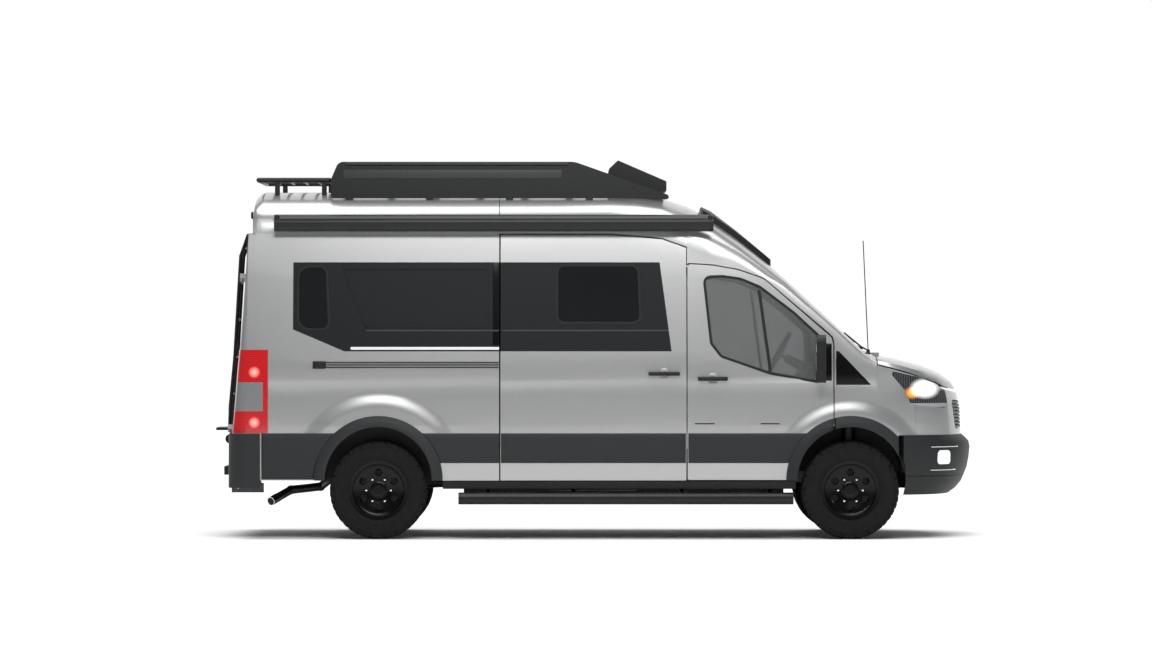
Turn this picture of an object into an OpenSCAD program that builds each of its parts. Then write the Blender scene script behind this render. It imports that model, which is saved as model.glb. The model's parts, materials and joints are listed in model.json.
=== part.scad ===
// High-roof camper van with a roof rack, side awning, running boards and all-terrain tyres.
// Millimetres. +X is forward, +Y is left, +Z is up. The origin is on the ground, below the middle of
// the overall length. Outlines of the side are written from the front axle, forward positive.

/* [Overall] */
// Back of the body to the rear edge of the ladder's tread
tread_out = 149; // [120:1:180]
// Front axle to the front of the bumper
front_overhang = 1014; // [980:1:1100]
// Distance between the axles
wheelbase = 3759; // [3650:1:3850]
// Rear axle to the back of the body at its waist
back_overhang = 1172; // [1120:1:1230]
// Width of the body at its waist
body_w = 2060; // [2000:1:2120]
// Height of the roof's crown
roof_h = 2781; // [2720:1:2850]
// Height of the drip rail between side and roof
drip_z = 2436; // [2400:1:2460]
// Height of the bottom of the doors
door_z = 468; // [450:1:490]
// Height of the bottom of the sills
sill_z = 401; // [380:1:420]

/* [Panels] */
// Thickness of doors and side walls
wall_t = 55; // [45:1:65]
// Thickness of the roof, hood and front panels
skin_t = 28; // [20:1:34]
// Thickness of the glass
glass_t = 6; // [4:1:10]
// Gap between panels that open
seam = 10; // [8:1:14]
// Gap around glass and panels that stay put
seat_gap = 0.3; // [0.1:0.1:0.6]
// Top of the floor
floor_z = 720; // [690:1:760]
// Thickness of the floor
floor_t = 40; // [30:1:60]

/* [Wheels] */
// Diameter of the tyres over their lugs
tyre_d = 780; // [740:1:800]
// Width of the tyres
tyre_w = 245; // [225:1:260]
// Diameter of the rims at the bead
rim_d = 432; // [400:1:440]
// Distance between the middles of the wheels on an axle
track = 1735; // [1710:1:1760]
// Radius of the wheel spindles
spindle_r = 32; // [28:1:36]
// Running clearance of pins and spindles
run_gap = 0.05; // [0.02:0.01:0.09]
// Radius of the wheel arches
arch_r = 425; // [420:1:440]
// Height of the arch centre above the axle
arch_rise = 80; // [70:1:95]
// Width of the arch flares, along the side
flare_w = 87; // [70:1:100]
// How far the arch flares stand out
flare_out = 24; // [16:1:30]
// Steering axis, inwards of the middle of the wheel
king_in = 30; // [20:1:40]

/* [Doors] */
// Rear edge of the front doors, behind the front axle
b_post = 1302; // [1280:1:1330]
// Front edge of the front doors, behind the front axle
a_seam = 134; // [125:1:150]
// Length of the sliding door
slider_l = 1491; // [1440:1:1540]
// Half width of the rear door opening
rear_half = 800; // [770:1:820]
// Bottom of the rear doors
rear_door_z = 664; // [650:1:690]
// Top of the rear doors
rear_top_z = 2420; // [2380:1:2424]
// Radius of the hinge pins
pin_r = 6; // [5:1:7]

/* [Outside fittings] */
// Length of the awning
awning_l = 3497; // [3300:1:3600]
// Height of the awning's case
awning_h = 137; // [120:1:150]
// Length of the running boards
board_l = 2666; // [2500:1:2700]
// Height of the running boards' tube
board_h = 95; // [80:1:100]
// Length of the roof rack
rack_l = 2914; // [2700:1:3000]
// How far the roof rack's rails stand above the roof's crown
rack_rise = 233; // [200:1:270]
// How far the mirrors stand out from the side
mirror_out = 207; // [190:1:230]
// Inner width of the tow bar's socket
hitch_w = 51; // [50:1:52]
// Radius of the tow bar's cross pin hole
hitch_pin_r = 8.2; // [8:0.1:9]

/* [Hidden] */
$fn = 48;

// Places along the van
overall_l = front_overhang + wheelbase + back_overhang + tread_out;
fa = overall_l / 2 - front_overhang;
ra = fa - wheelbase;
back = ra - back_overhang;
tail = -overall_l / 2;
half_w = body_w / 2;
axle_z = tyre_d / 2;
wheel_y = track / 2;
king_y = wheel_y - king_in;
x_b = fa - b_post;
x_a = fa - a_seam;
x_c = x_b - slider_l;
reach = 2 * half_w;

// Plan of the body: straight sides, a round rear corner and a blunt curved nose
corner_r = 130;
nose_start = fa - 140;
nose_tip = fa + front_overhang - 72;
nose_p = 3.6;
nose_q = 2.4;
nose_angles = [90, 86, 82, 77, 72, 66, 60, 53, 46, 39, 32, 24, 16, 8, 0];

// How far the side leans in at each height: [height, inset]
side_lean = [
  [sill_z, 45], [door_z, 30], [607, 10], [845, 2], [905, 0], [1100, 3], [1140, 9], [1240, 10],
  [1275, 5], [1400, 11], [1500, 24], [1800, 60], [2100, 96], [2206, 110], [drip_z, 140]
];
// How far the nose leans back at each height: [height, inset]
nose_lean = [[700, 0], [828, 0], [1034, 8], [1130, 28], [1192, 54], [1257, 101]];
// How far the back leans forward at each height: [height, inset]
back_lean = [[500, 0], [828, 0], [1755, 88], [2402, 127], [2675, 166]];

// Middle line of the roof, windscreen and hood, from the front axle: [place, height]
top_line = [
  [-4700, roof_h], [-1916, roof_h], [-1700, roof_h - 11], [-1500, roof_h - 46], [-1300, roof_h - 111],
  [-1099, roof_h - 206], [-850, 2385], [-579, 2153], [106, 1516], [206, 1468], [356, 1444], [562, 1393],
  [729, 1332], [841, 1257], [888, 1192], [942, 1150]
];
// Line where the side turns into the roof, windscreen or hood, from the front axle: [place, height]
shoulder_line = [
  [-4700, drip_z], [-1900, drip_z], [-1500, drip_z - 36], [-1302, drip_z - 106], [-1090, 2250], [-898, 2200],
  [-678, 2085], [-509, 1990], [-141, 1675], [0, 1545], [106, 1440], [206, 1398], [356, 1360], [562, 1300],
  [697, 1248], [775, 1208], [841, 1192], [888, 1180], [942, 1165]
];

// A place on the side's plan: [x, y, outward normal x, outward normal y]
function side_station(x) = [x, half_w, 0, 1];
function nose_station(a, tip = nose_tip, w = half_w) =
  let(
    u = pow(cos(a), 2 / nose_p),
    v = pow(sin(abs(a)), 2 / nose_q),
    l = tip - nose_start,
    gx = nose_p / l * pow(u, nose_p - 1),
    gy = nose_q / w * pow(v, nose_q - 1),
    g = norm([gx, gy]),
    hand = a < 0 ? -1 : 1
  ) [nose_start + l * u, hand * w * v, gx / g, hand * gy / g];
function corner_station(a) = [
  back + corner_r * (1 - cos(a)), half_w - corner_r * (1 - sin(a)), -cos(a), sin(a)
];
function back_station(y) = [back, y, -1, 0];

// Inset of the skin at a station and a height
function lean(s, z) =
  s[3] * s[3] * lookup(z, side_lean)
  + s[2] * s[2] * lookup(z, s[2] > 0 ? nose_lean : back_lean);
// Point of the skin, at a depth below it
function skin(s, z, d) = let(i = lean(s, z) + d) [s[0] - s[2] * i, s[1] - s[3] * i, z];
// Half width of the side at a height
function side_y(z) = half_w - lookup(z, side_lean);

// Half of a roof, windscreen or hood section at x, from the shoulder to the middle
function crown(x, y, d, power, steps) =
  let(
    zs = lookup(x - fa, shoulder_line),
    rise = lookup(x - fa, top_line) - d - zs
  ) [for (k = [0:steps])
      let(a = 90 * k / steps)
      [x, (y - d) * pow(cos(a), 2 / power), zs + rise * pow(sin(a), 2 / power)]];
// Whole section, from the left shoulder over the middle to the right
function whole(half) = concat(
  half,
  [for (k = [len(half) - 2:-1:0]) [half[k][0], -half[k][1], half[k][2]]]
);

// Closed shell between an outer and an inner grid of points
module shell(outer, inner) {
  n = len(outer);
  m = len(outer[0]);
  both = concat([for (row = outer) each row], [for (row = inner) each row]);
  deep = n * m;
  skin_faces = [for (i = [0:n - 2], j = [0:m - 2]) let(p = i * m + j)
      each [[p, p + 1, p + m + 1], [p, p + m + 1, p + m]]];
  back_faces = [for (f = skin_faces) [f[2] + deep, f[1] + deep, f[0] + deep]];
  low_edge = [for (i = [0:n - 2]) let(p = i * m)
      each [[p, p + m, p + m + deep], [p, p + m + deep, p + deep]]];
  high_edge = [for (i = [0:n - 2]) let(p = i * m + m - 1)
      each [[p + m, p, p + deep], [p + m, p + deep, p + m + deep]]];
  first_edge = [for (j = [0:m - 2]) let(p = j)
      each [[p + 1, p, p + deep], [p + 1, p + deep, p + 1 + deep]]];
  last_edge = [for (j = [0:m - 2]) let(p = (n - 1) * m + j)
      each [[p, p + 1, p + 1 + deep], [p, p + 1 + deep, p + deep]]];
  faces = concat(skin_faces, back_faces, low_edge, high_edge, first_edge, last_edge);
  polyhedron(both, [for (f = faces) [f[2], f[1], f[0]]]);
}

// Outline with round corners, from rows of [x, z, radius]
function rounded(path) = [for (i = [0:len(path) - 1])
  let(
    p = path[i],
    n = len(path),
    u = unit(path[(i + n - 1) % n], p),
    v = unit(path[(i + 1) % n], p),
    half = acos(max(-1, min(1, u * v))) / 2,
    r = p[2],
    mid = (u + v) / max(norm(u + v), 1e-6),
    c = [p[0], p[1]] + mid * r / sin(half),
    a0 = atan2(-mid[1], -mid[0]),
    turn = (u[0] * v[1] - u[1] * v[0] > 0 ? -1 : 1) * (90 - half),
    steps = r > 60 ? 6 : 3
  ) each (r == 0 ? [[p[0], p[1]]]
    : [for (k = [-steps:steps]) c + r * [cos(a0 + turn * k / steps), sin(a0 + turn * k / steps)]])];
function unit(a, b) = let(d = [a[0] - b[0], a[1] - b[1]]) d / norm(d);
// Rows of an outline from the front axle, moved to the van's frame
function from_axle(path) = [for (p = path) [p[0] + fa, p[1], p[2]]];

// Prism of a side outline, between two places across the van
module across(outline, y0, y1) {
  translate([0, y1, 0]) rotate([90, 0, 0]) linear_extrude(y1 - y0) polygon(outline);
}
// Prism of a front outline, between two places along the van
module along(outline, x0, x1) {
  translate([x0, 0, 0]) rotate([90, 0, 90]) linear_extrude(x1 - x0) polygon(outline);
}
// Cylinder across the van
module rod_y(r, x, z, y0, y1) {
  translate([x, y0, z]) rotate([-90, 0, 0]) cylinder(r = r, h = y1 - y0);
}
// Block between two corners
module block(low, high) {
  translate(low) cube(high - low);
}
// The same piece on both sides, modelled on the left
module both_sides() {
  children();
  mirror([0, 1, 0]) children();
}
// The right-hand piece of a pair, modelled on the left
module right_hand() {
  mirror([0, 1, 0]) children();
}

// Section of a side wall between two depths, as [y, z] rows
function wall_section(d0, d1, z0, z1) =
  let(levels = [for (row = side_lean) if (row[0] > z0 && row[0] < z1) row[0]])
  let(all = concat([z0], levels, [z1]))
  concat(
    [for (z = all) [side_y(z) - d0, z]],
    [for (k = [len(all) - 1:-1:0]) [side_y(all[k]) - d1, all[k]]]
  );
// Straight stretch of the left side wall
module wall(x0, x1, z0, z1, d0, d1) {
  along(wall_section(d0, d1, z0, z1), x0, x1);
}

// Outlines of the left side, as [place from the front axle, height, radius]
function door_outline(grow) = rounded(from_axle([
  [-b_post - grow, door_z - grow, 12], [-a_seam + grow, door_z - grow, 0], [-a_seam + grow, 1553 + grow, 60],
  [-146 + grow, 1611 + grow, 40], [-690, 2079 + grow, 220], [-898, 2150 + grow, 200],
  [-1098, 2185 + grow, 300], [-b_post - grow, 2198 + grow, 30]
]));
cab_glass = rounded(from_axle([
  [-1110, 1560, 40], [-1030, 1456, 60], [-642, 1321, 300], [-241, 1249, 30], [-230, 1600, 20],
  [-453, 1806, 300], [-720, 2010, 200], [-876, 2075, 200], [-1020, 2095, 60], [-1168, 2090, 50]
]));
slider_glass = rounded(from_axle([
  [-2337, 1722, 60], [-1670, 1722, 60], [-1690, 2182, 60], [-2337, 2182, 60]
]));
rear_side_glass = rounded(from_axle([
  [-4401, 1670, 90], [-4151, 1670, 60], [-4175, 2174, 60], [-4401, 2174, 90]
]));
quarter_recess = rounded(from_axle([
  [-4043, 2151, 30], [-3869, 1683, 40], [-2880, 1675, 30], [-2880, 2151, 30]
]));
recess_depth = 8;

// Space of a wheel arch, out from a place across the van
module arch_space(x, grow, y0) {
  rod_y(arch_r + grow, x, axle_z + arch_rise, y0, reach);
  block([x - arch_r - grow, y0, 0], [x + arch_r + grow, reach, axle_z + arch_rise]);
}

// Arch flare, on the left, as a turned profile that reaches back to the side
module flare(x) {
  lip_y = half_w + flare_out;
  intersection() {
    translate([x, 0, axle_z + arch_rise]) rotate([-90, 0, 0]) rotate_extrude($fn = 96)
      polygon([
        [arch_r, side_y(845) - wall_t], [arch_r, lip_y - 6], [arch_r + 8, lip_y], [arch_r + 30, lip_y],
        [arch_r + flare_w, half_w + 4], [arch_r + flare_w, half_w - 14], [arch_r + 34, half_w - 14],
        [arch_r + 14, side_y(845) - wall_t]
      ]);
    block([x - reach / 2, 0, door_z], [x + reach / 2, reach, reach]);
  }
}
// Seat of an arch flare in the side
module flare_seat(x) {
  translate([x, 0, axle_z + arch_rise]) rotate([-90, 0, 0]) rotate_extrude($fn = 96)
    polygon([
      [arch_r - 40, 0], [arch_r - 40, reach], [arch_r + flare_w + seat_gap, reach],
      [arch_r + flare_w + seat_gap, half_w - 14 - seat_gap], [arch_r + 34 + seat_gap, half_w - 14 - seat_gap],
      [arch_r + 14 + seat_gap, side_y(845) - wall_t - 1], [arch_r + 14 + seat_gap, 0]
    ]);
}

silver = "#a9abac";
dark = "#303133";
black = "#18191a";
pane = "#3a3d40";
steel = "#6b6e70";

// Living space
module side_wall(x1) {
  difference() {
    side_shell(x1);
    arch_space(ra, 0, 0);
    flare_seat(ra);
    across(rear_side_glass, 0, reach);
    lamp_seat();
  }
  for (z = rear_hinges) post_hinge(z);
}
post_levels = [for (row = side_lean) if (row[0] >= door_z) row[0]];
corner_angles = [0, 18, 36, 54, 72, 90];
post_edge = rear_half + seam;
// Side wall with its rounded rear corner, as far as the rear doors
module side_shell(x1) {
  stations = concat(
    [back_station(post_edge)],
    [for (a = corner_angles) corner_station(a)],
    [side_station(x1)]
  );
  shell(
    [for (s = stations) [for (z = post_levels) skin(s, z, 0)]],
    [for (s = stations) [for (z = post_levels) skin(s, z, wall_t)]]
  );
}
// Tail lamp round the corner
lamp_low = 845;
lamp_high = 1508;
lamp_front = fa - 4637;
lamp_depth = 36;
module lamp_ring(d0, d1, grow) {
  stations = concat(
    [for (a = [20 - grow, 38, 56, 73, 90]) corner_station(a)],
    [side_station(lamp_front + grow)]
  );
  levels = concat([lamp_low - grow], [for (z = [1100, 1300]) z], [lamp_high + grow]);
  shell(
    [for (s = stations) [for (z = levels) skin(s, z, d0)]],
    [for (s = stations) [for (z = levels) skin(s, z, d1)]]
  );
}
module lamp_seat() {
  lamp_ring(-20, lamp_depth + seat_gap, seat_gap);
}
module tail_lamps() {
  color("#a02020") both_sides() lamp_ring(-3, lamp_depth, 0);
}
module quarter_right() {
  color(silver) right_hand() difference() {
    side_wall(x_c - seam / 2);
    intersection() {
      wall(back, x_c, 1600, 2200, -1, recess_depth);
      across(quarter_recess, 0, reach);
    }
    rail_groove();
  }
}
module side_left() {
  color(silver) difference() {
    side_wall(x_b - seam / 2);
    across(slider_glass, 0, reach);
    roof_fall(seat_gap);
  }
}
// Space above the roof's lower edge, where it falls towards the cab
module roof_fall(gap) {
  edge = [for (p = roof_places) if (p[0] > ra) [p[0], lookup(p[0] - fa, shoulder_line) - gap]];
  across(concat(edge, [[x_b, 2 * reach], [edge[0][0], 2 * reach]]), 0, reach);
}
// Channel of the sliding door's middle rail
rail_z = 1388;
rail_h = 54;
rail_depth = 26;
module rail_groove() {
  block(
    [fa - 4281, side_y(rail_z) - rail_depth, rail_z - rail_h / 2],
    [x_c, reach, rail_z + rail_h / 2]
  );
}
module sliding_door() {
  color(silver) right_hand() difference() {
    wall(x_c + seam / 2, x_b - seam / 2, door_z, drip_z - seam, 0, wall_t);
    across(slider_glass, 0, reach);
    roof_fall(seam);
  }
}
module pane_of(outline, z0, z1) {
  intersection() {
    wall(back, fa, z0, z1, 3, 3 + glass_t);
    across(outline, 0, reach);
  }
}
module living_windows() {
  color(pane) both_sides() {
    pane_of(slider_glass, 1700, 2200);
    pane_of(rear_side_glass, 1650, 2200);
  }
}

// Roof of the living space, with a round rear edge and a wall above the rear doors
crown_steps = 8;
crown_power = 3;
roof_back = back + 166;
roof_edge = 80;
roof_places = concat(
  [for (a = [0, 30, 60, 90]) [roof_back + roof_edge * (1 - cos(a)), roof_edge * (1 - sin(a))]],
  [[fa - 1916, 0], [fa - 1700, 0], [fa - 1500, 0], [x_b, 0]]
);
function shoulder_y(x) = side_y(lookup(x - fa, shoulder_line));
function roof_row(x, drop, d) = [
  for (q = whole(crown(x, shoulder_y(x), d, crown_power, crown_steps)))
    [q[0], q[1], q[2] - drop * (q[2] - drip_z) / (roof_h - drip_z)]
];
module roof() {
  end = [for (q = roof_row(roof_back, roof_edge, skin_t / 2)) [q[1], q[2]]];
  color(silver) union() {
    shell(
      [for (p = roof_places) roof_row(p[0], p[1], 0)],
      [for (p = roof_places) roof_row(p[0], p[1], skin_t)]
    );
    along(end, roof_back, roof_back + wall_t);
  }
}

// Cab
cowl_x = fa + 206;
post_in = wall_t + 50;
post_w = 60;
door_clear = 7;
cab_base_z = 1222;
cab_places = [for (d = [-b_post + 0.3, -1099, -898, -678, -509, -325, -141, 0, 106, 206]) fa + d];
function cab_half(x, d) =
  let(zs = lookup(x - fa, shoulder_line))
  concat(
    [for (k = [0:3]) let(z = cab_base_z + (zs - cab_base_z) * k / 4) [x, side_y(z) - d, z]],
    crown(x, side_y(zs), d, crown_power, crown_steps)
  );
screen_outline = rounded([
  [fa + 96, 830, 90], [fa - 600, 690, 90], [fa - 640, 400, 300], [fa - 655, 0, 0], [fa - 640, -400, 300],
  [fa - 600, -690, 90], [fa + 96, -830, 90], [fa + 150, -400, 300], [fa + 160, 0, 0], [fa + 150, 400, 300]
]);
hinge_x = x_a - 65;
hinge_y = half_w - 24;
hinge_heights = [960, 1380];
hinge_half = 32;
knuckle_r = 11;
module cab_shell() {
  color(silver) union() {
    difference() {
      shell(
        [for (x = cab_places) whole(cab_half(x, 0))],
        [for (x = cab_places) whole(cab_half(x, wall_t))]
      );
      across(door_outline(seam / 2), -reach, reach);
      translate([0, 0, cab_base_z]) linear_extrude(reach) polygon(screen_outline);
      translate(antenna_base - [0, 0, seat_gap]) cylinder(r = antenna_r + seat_gap, h = 100);
    }
    both_sides() {
      wall(x_b - 70, x_b + 70, floor_z, 2100, wall_t + door_clear, wall_t + post_w);
      hinge_post();
      hood_hinge();
    }
  }
}
// Post inside the fender that carries the front door's hinges
module hinge_post() {
  post_y = half_w - post_in;
  block([x_a - 110, post_y - post_w, 900], [x_a + post_w, post_y, 1415]);
  block([x_a + seam, post_y - post_w, cab_base_z + 10], [x_a + post_w, side_y(1500) - 20, 1500]);
  for (z = hinge_heights) {
    block(
      [hinge_x - knuckle_r + 2, post_y - 5, z - hinge_half],
      [hinge_x + knuckle_r - 2, hinge_y, z + hinge_half]
    );
    translate([hinge_x, hinge_y, z - hinge_half]) cylinder(r = knuckle_r, h = 2 * hinge_half);
    translate([hinge_x, hinge_y, z - hinge_half - 24]) cylinder(r = pin_r, h = 2 * hinge_half + 48);
  }
}
module windscreen() {
  color(pane) intersection() {
    shell(
      [for (x = cab_places) if (x > fa - 900) whole(crown(x, shoulder_y(x), 4, crown_power, crown_steps))],
      [for (x = cab_places) if (x > fa - 900)
        whole(crown(x, shoulder_y(x), 4 + glass_t, crown_power, crown_steps))]
    );
    translate([0, 0, cab_base_z]) linear_extrude(reach) polygon(screen_outline);
  }
}

// Front doors
module front_door() {
  difference() {
    union() {
      intersection() {
        wall(x_b, x_a, door_z, 2250, 0, wall_t);
        across(door_outline(-seam / 2), 0, reach);
      }
      intersection() {
        flare(fa);
        block([x_b, 0, 0], [x_a - seam / 2 - 8, reach, reach]);
      }
    }
    arch_space(fa, 0, 0);
    across(cab_glass, 0, reach);
    for (z = hinge_heights) {
      block(
        [hinge_x - knuckle_r - 6, 0, z - hinge_half - 3],
        [x_a + 1, hinge_y + knuckle_r + 1, z + hinge_half + 3]
      );
      translate([hinge_x, hinge_y, z - 80]) cylinder(r = pin_r + run_gap, h = 160);
    }
  }
}
module cab_pane() {
  pane_of(cab_glass, 1200, 2150);
}
module door_left() {
  color(silver) front_door();
}
module door_right() {
  color(silver) right_hand() front_door();
}
module glass_left() {
  color(pane) cab_pane();
}
module glass_right() {
  color(pane) right_hand() cab_pane();
}
// Mirror on an arm, on the left
mirror_z = 1248;
mirror_h = 379;
mirror_x = fa - 243;
mirror_gap = 19;
module mirror_pair() {
  inner = half_w + mirror_gap;
  out = half_w + mirror_out;
  head = rounded([
    [inner, mirror_z, 30], [out - 20, mirror_z, 40], [out, mirror_z + mirror_h, 60],
    [inner + 8, mirror_z + mirror_h, 60]
  ]);
  along(head, mirror_x - 37, mirror_x + 38);
  block([mirror_x + 7, side_y(1275) + 0.2, 1285], [mirror_x + 37, inner + 48, 1345]);
}
module mirror_left() {
  color(black) mirror_pair();
}
module mirror_right() {
  color(black) right_hand() mirror_pair();
}

// Front end
fascia_low = 828;
fender_angles = [for (a = nose_angles) if (a >= 66) a];
function edge_z(s) = lookup(s[0] - fa, shoulder_line) - seam;
module fenders() {
  color(silver) both_sides() difference() {
    shell(fender_rows(0), fender_rows(skin_t));
    block([fa - reach, 0, cab_base_z], [cowl_x, reach, reach]);
    block([fa - reach, 0, 0], [x_a + seam / 2, reach, reach]);
    arch_space(fa, 0, 0);
    flare_seat(fa);
    head_lamp_prism();
    bumper_seat();
  }
}
function fender_rows(d) = [for (a = fender_angles) let(s = nose_station(a))
  [for (k = [0:8]) skin(s, door_z + (edge_z(s) - door_z) * k / 8, d)]];
head_lamp_outline = rounded(from_axle([
  [291, 1349, 20], [551, 1288, 120], [697, 1236, 60], [775, 1177, 40], [797, 1041, 30], [569, 1059, 0],
  [479, 1077, 20], [433, 1187, 30]
]));
module head_lamp_prism() {
  across(head_lamp_outline, 300, reach);
}
ring_angles = concat(
  [for (a = nose_angles) if (a <= 66) a],
  [for (k = [len(nose_angles) - 2:-1:0]) if (nose_angles[k] <= 66) -nose_angles[k]]
);
function fascia_rows(d, z0) = [for (a = ring_angles) let(s = nose_station(a))
  [for (k = [0:5]) skin(s, z0 + (edge_z(s) - z0) * k / 5, d)]];
module fascia() {
  color(silver) difference() {
    shell(fascia_rows(0, fascia_low), fascia_rows(skin_t, fascia_low));
    both_sides() head_lamp_prism();
    offset_grille(0);
    block([fa, -reach, 0], [nose_station(66)[0] + seat_gap, reach, reach]);
  }
}
grille_bars = 8;
grille_pitch = 28;
grille_bar_h = 19;
grille_backing = skin_t + 6;
module grille() {
  color(dark) union() {
    intersection() {
      for (k = [0:grille_bars - 1])
        let(z = 880 + k * grille_pitch) ring_band([z, z + grille_bar_h], 3, grille_backing + 2);
      offset_grille(-0.5);
    }
    intersection() {
      ring_band([840:30:1140], grille_backing, grille_backing + 12);
      offset_grille(-4);
    }
  }
}
module offset_grille(grow) {
  along(rounded([
    [-560 - grow, 870 - grow, 60], [560 + grow, 870 - grow, 60], [620 + grow, 1105 + grow, 50],
    [-620 - grow, 1105 + grow, 50]
  ]), fa, fa + reach);
}
// Band of the nose through some heights, between two depths
module ring_band(heights, d0, d1) {
  angles = [for (a = ring_angles) if (abs(a) <= 46) a];
  shell(
    [for (a = angles) [for (z = heights) skin(nose_station(a), z, d0)]],
    [for (a = angles) [for (z = heights) skin(nose_station(a), z, d1)]]
  );
}
module front_lamps() {
  color("#d8dde0") both_sides() {
    intersection() {
      shell(lamp_rows(2), lamp_rows(2 + lamp_depth));
      head_lamp_prism();
    }
    fog_lamp(-fog_depth + seat_gap, -fog_set_back, seat_gap);
  }
}
// Fog lamp in the corner of the bumper, between two depths outwards of its skin
fog_angle = 50;
fog_z = 650;
fog_w = 150;
fog_h = 112;
fog_depth = 30;
fog_set_back = 5;
module fog_lamp(d0, d1, gap) {
  s = nose_station(fog_angle, fa + front_overhang, bumper_w);
  x = fog_h / 2 - gap;
  y = fog_w / 2 - gap;
  translate(bumper_skin(fog_angle, fog_z, 0)) rotate([0, 90, atan2(s[3], s[2])])
    translate([0, 0, d0]) linear_extrude(d1 - d0)
      polygon(rounded([[-x, -y, 30], [x, -y, 30], [x, y, 30], [-x, y, 30]]));
}
lamp_angles = [for (a = nose_angles) if (a >= 32 && a <= 77) a];
function lamp_rows(d) = [for (a = lamp_angles) let(s = nose_station(a))
  [for (z = [1020, 1100, 1180, 1260, 1360]) skin(s, z, d)]];

// Front bumper: how far it leans back at the front and in at the sides: [height, inset]
bumper_front_lean = [
  [352, 170], [390, 118], [450, 69], [560, 24], [640, 9], [725, 0], [770, 10], [800, 38], [828, 70]
];
bumper_side_lean = [[352, 70], [450, 26], [560, 6], [725, 0], [828, 4]];
bumper_w = half_w + 4;
bumper_t = 40;
function bumper_skin(a, z, d) =
  let(
    s = nose_station(a, fa + front_overhang, bumper_w),
    i = s[3] * s[3] * lookup(z, bumper_side_lean) + s[2] * s[2] * lookup(z, bumper_front_lean) + d
  ) [s[0] - s[2] * i, s[1] - s[3] * i, z];
bumper_angles = [74, 68, 61, 54, 47, 40, 33, 26, 18, 9, 0, -9, -18, -26, -33, -40, -47, -54, -61, -68, -74];
bumper_levels = [for (row = bumper_front_lean) row[0]];
module bumper_front() {
  color(dark) difference() {
    shell(
      [for (a = bumper_angles) [for (z = bumper_levels) bumper_skin(a, z, 0)]],
      [for (a = bumper_angles) [for (z = bumper_levels) bumper_skin(a, z, bumper_t)]]
    );
    both_sides() {
      arch_space(fa, 0, 0);
      flare_seat(fa);
      fog_lamp(-fog_depth, fog_depth, 0);
    }
  }
}
// Space of the bumper in the fenders
module bumper_seat() {
  block([fa + 380, 0, 0], [fa + reach, reach, fascia_low]);
}

// Hood, hinged along its rear edge
hood_rear = acos(pow((cowl_x + seam - nose_start) / (nose_tip - nose_start), nose_p / 2));
hood_angles = [hood_rear, 77, 72, 66, 60, 53, 46, 39, 32, 24, 16];
function hood_row(a, d) =
  let(
    s = nose_station(a),
    e = skin(s, edge_z(s) + seam, seam / 2)
  ) whole(crown(e[0], e[1], d, crown_power, 6));
hood_pin = [cowl_x + 5, 600, 1478];
hood_eye_r = 8;
hood_pin_r = 4;
hood_ear = 20;
module hood() {
  color(silver) difference() {
    union() {
      shell([for (a = hood_angles) hood_row(a, 0)], [for (a = hood_angles) hood_row(a, skin_t)]);
      both_sides() for (y = [-hood_ear, hood_ear]) translate(hood_pin + [0, y, 0]) {
        rod_y(hood_eye_r, 0, 0, seat_gap, hood_ear - seat_gap);
        block([4, seat_gap, -34], [34, hood_ear - seat_gap, hood_eye_r - 1]);
      }
    }
    both_sides() translate(hood_pin) rod_y(hood_pin_r + run_gap, 0, 0, -2 * hood_ear, 3 * hood_ear);
  }
}
// Ear on the cowl that carries the hood's pin
module hood_hinge() {
  translate(hood_pin) {
    rod_y(hood_eye_r, 0, 0, 0, hood_ear);
    rod_y(hood_pin_r, 0, 0, -hood_ear, 2 * hood_ear);
    block([-44, 0, -34], [0, hood_ear, hood_eye_r - 1]);
  }
}

// Rear doors
rear_levels = [rear_door_z, 828, 1100, 1430, 1755, 2100, 2402, rear_top_z];
rear_hinge_x0 = back - 28;
rear_hinge_tilt = atan2(127, 1574);
rear_hinge_y = rear_half + seam / 2;
rear_outline = rounded([
  [seam / 2, rear_door_z, 20], [rear_half, rear_door_z, 40], [rear_half, rear_top_z, 60],
  [seam / 2, rear_top_z, 20]
]);
rear_glass_outline = rounded([[90, 1560, 60], [690, 1560, 80], [650, 2240, 90], [90, 2240, 60]]);
module rear_slab(d0, d1) {
  shell(
    [for (y = [0, rear_half]) [for (z = rear_levels) skin(back_station(y), z, d0)]],
    [for (y = [0, rear_half]) [for (z = rear_levels) skin(back_station(y), z, d1)]]
  );
}
module rear_door() {
  difference() {
    intersection() {
      rear_slab(0, wall_t);
      along(rear_outline, back - reach, back + reach);
    }
    along(rear_glass_outline, back - reach, back + reach);
  }
  for (z = rear_hinges) door_hinge(z);
}
module rear_pane() {
  intersection() {
    rear_slab(3, 3 + glass_t);
    along(rear_glass_outline, back - reach, back + reach);
  }
}
module rear_door_left() {
  color(silver) rear_door();
}
module rear_door_right() {
  color(silver) right_hand() rear_door();
}
module rear_glass_left() {
  color(pane) rear_pane();
}
module rear_glass_right() {
  color(pane) right_hand() rear_pane();
}

// Exposed hinges of the rear doors, along the leaning rear edge
rear_hinges = [880, 2083];
rear_knuckle_r = 14;
rear_knuckle_h = 34;
module at_rear_hinge(z) {
  translate([rear_hinge_x0 + (z - 828) * tan(rear_hinge_tilt), rear_hinge_y, z])
    rotate([0, rear_hinge_tilt, 0]) children();
}
// Strap and lower knuckle, on the door
module door_hinge(z) {
  at_rear_hinge(z) difference() {
    union() {
      translate([0, 0, -rear_knuckle_h]) cylinder(r = rear_knuckle_r, h = rear_knuckle_h);
      block([-10, -95, -rear_knuckle_h], [46, 0, 0]);
    }
    translate([0, 0, -rear_knuckle_h - 1]) cylinder(r = pin_r + run_gap, h = rear_knuckle_h + 2);
    block([10, -seam / 2 - 1, -rear_knuckle_h - 1], [60, 20, 1]);
  }
}
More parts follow.
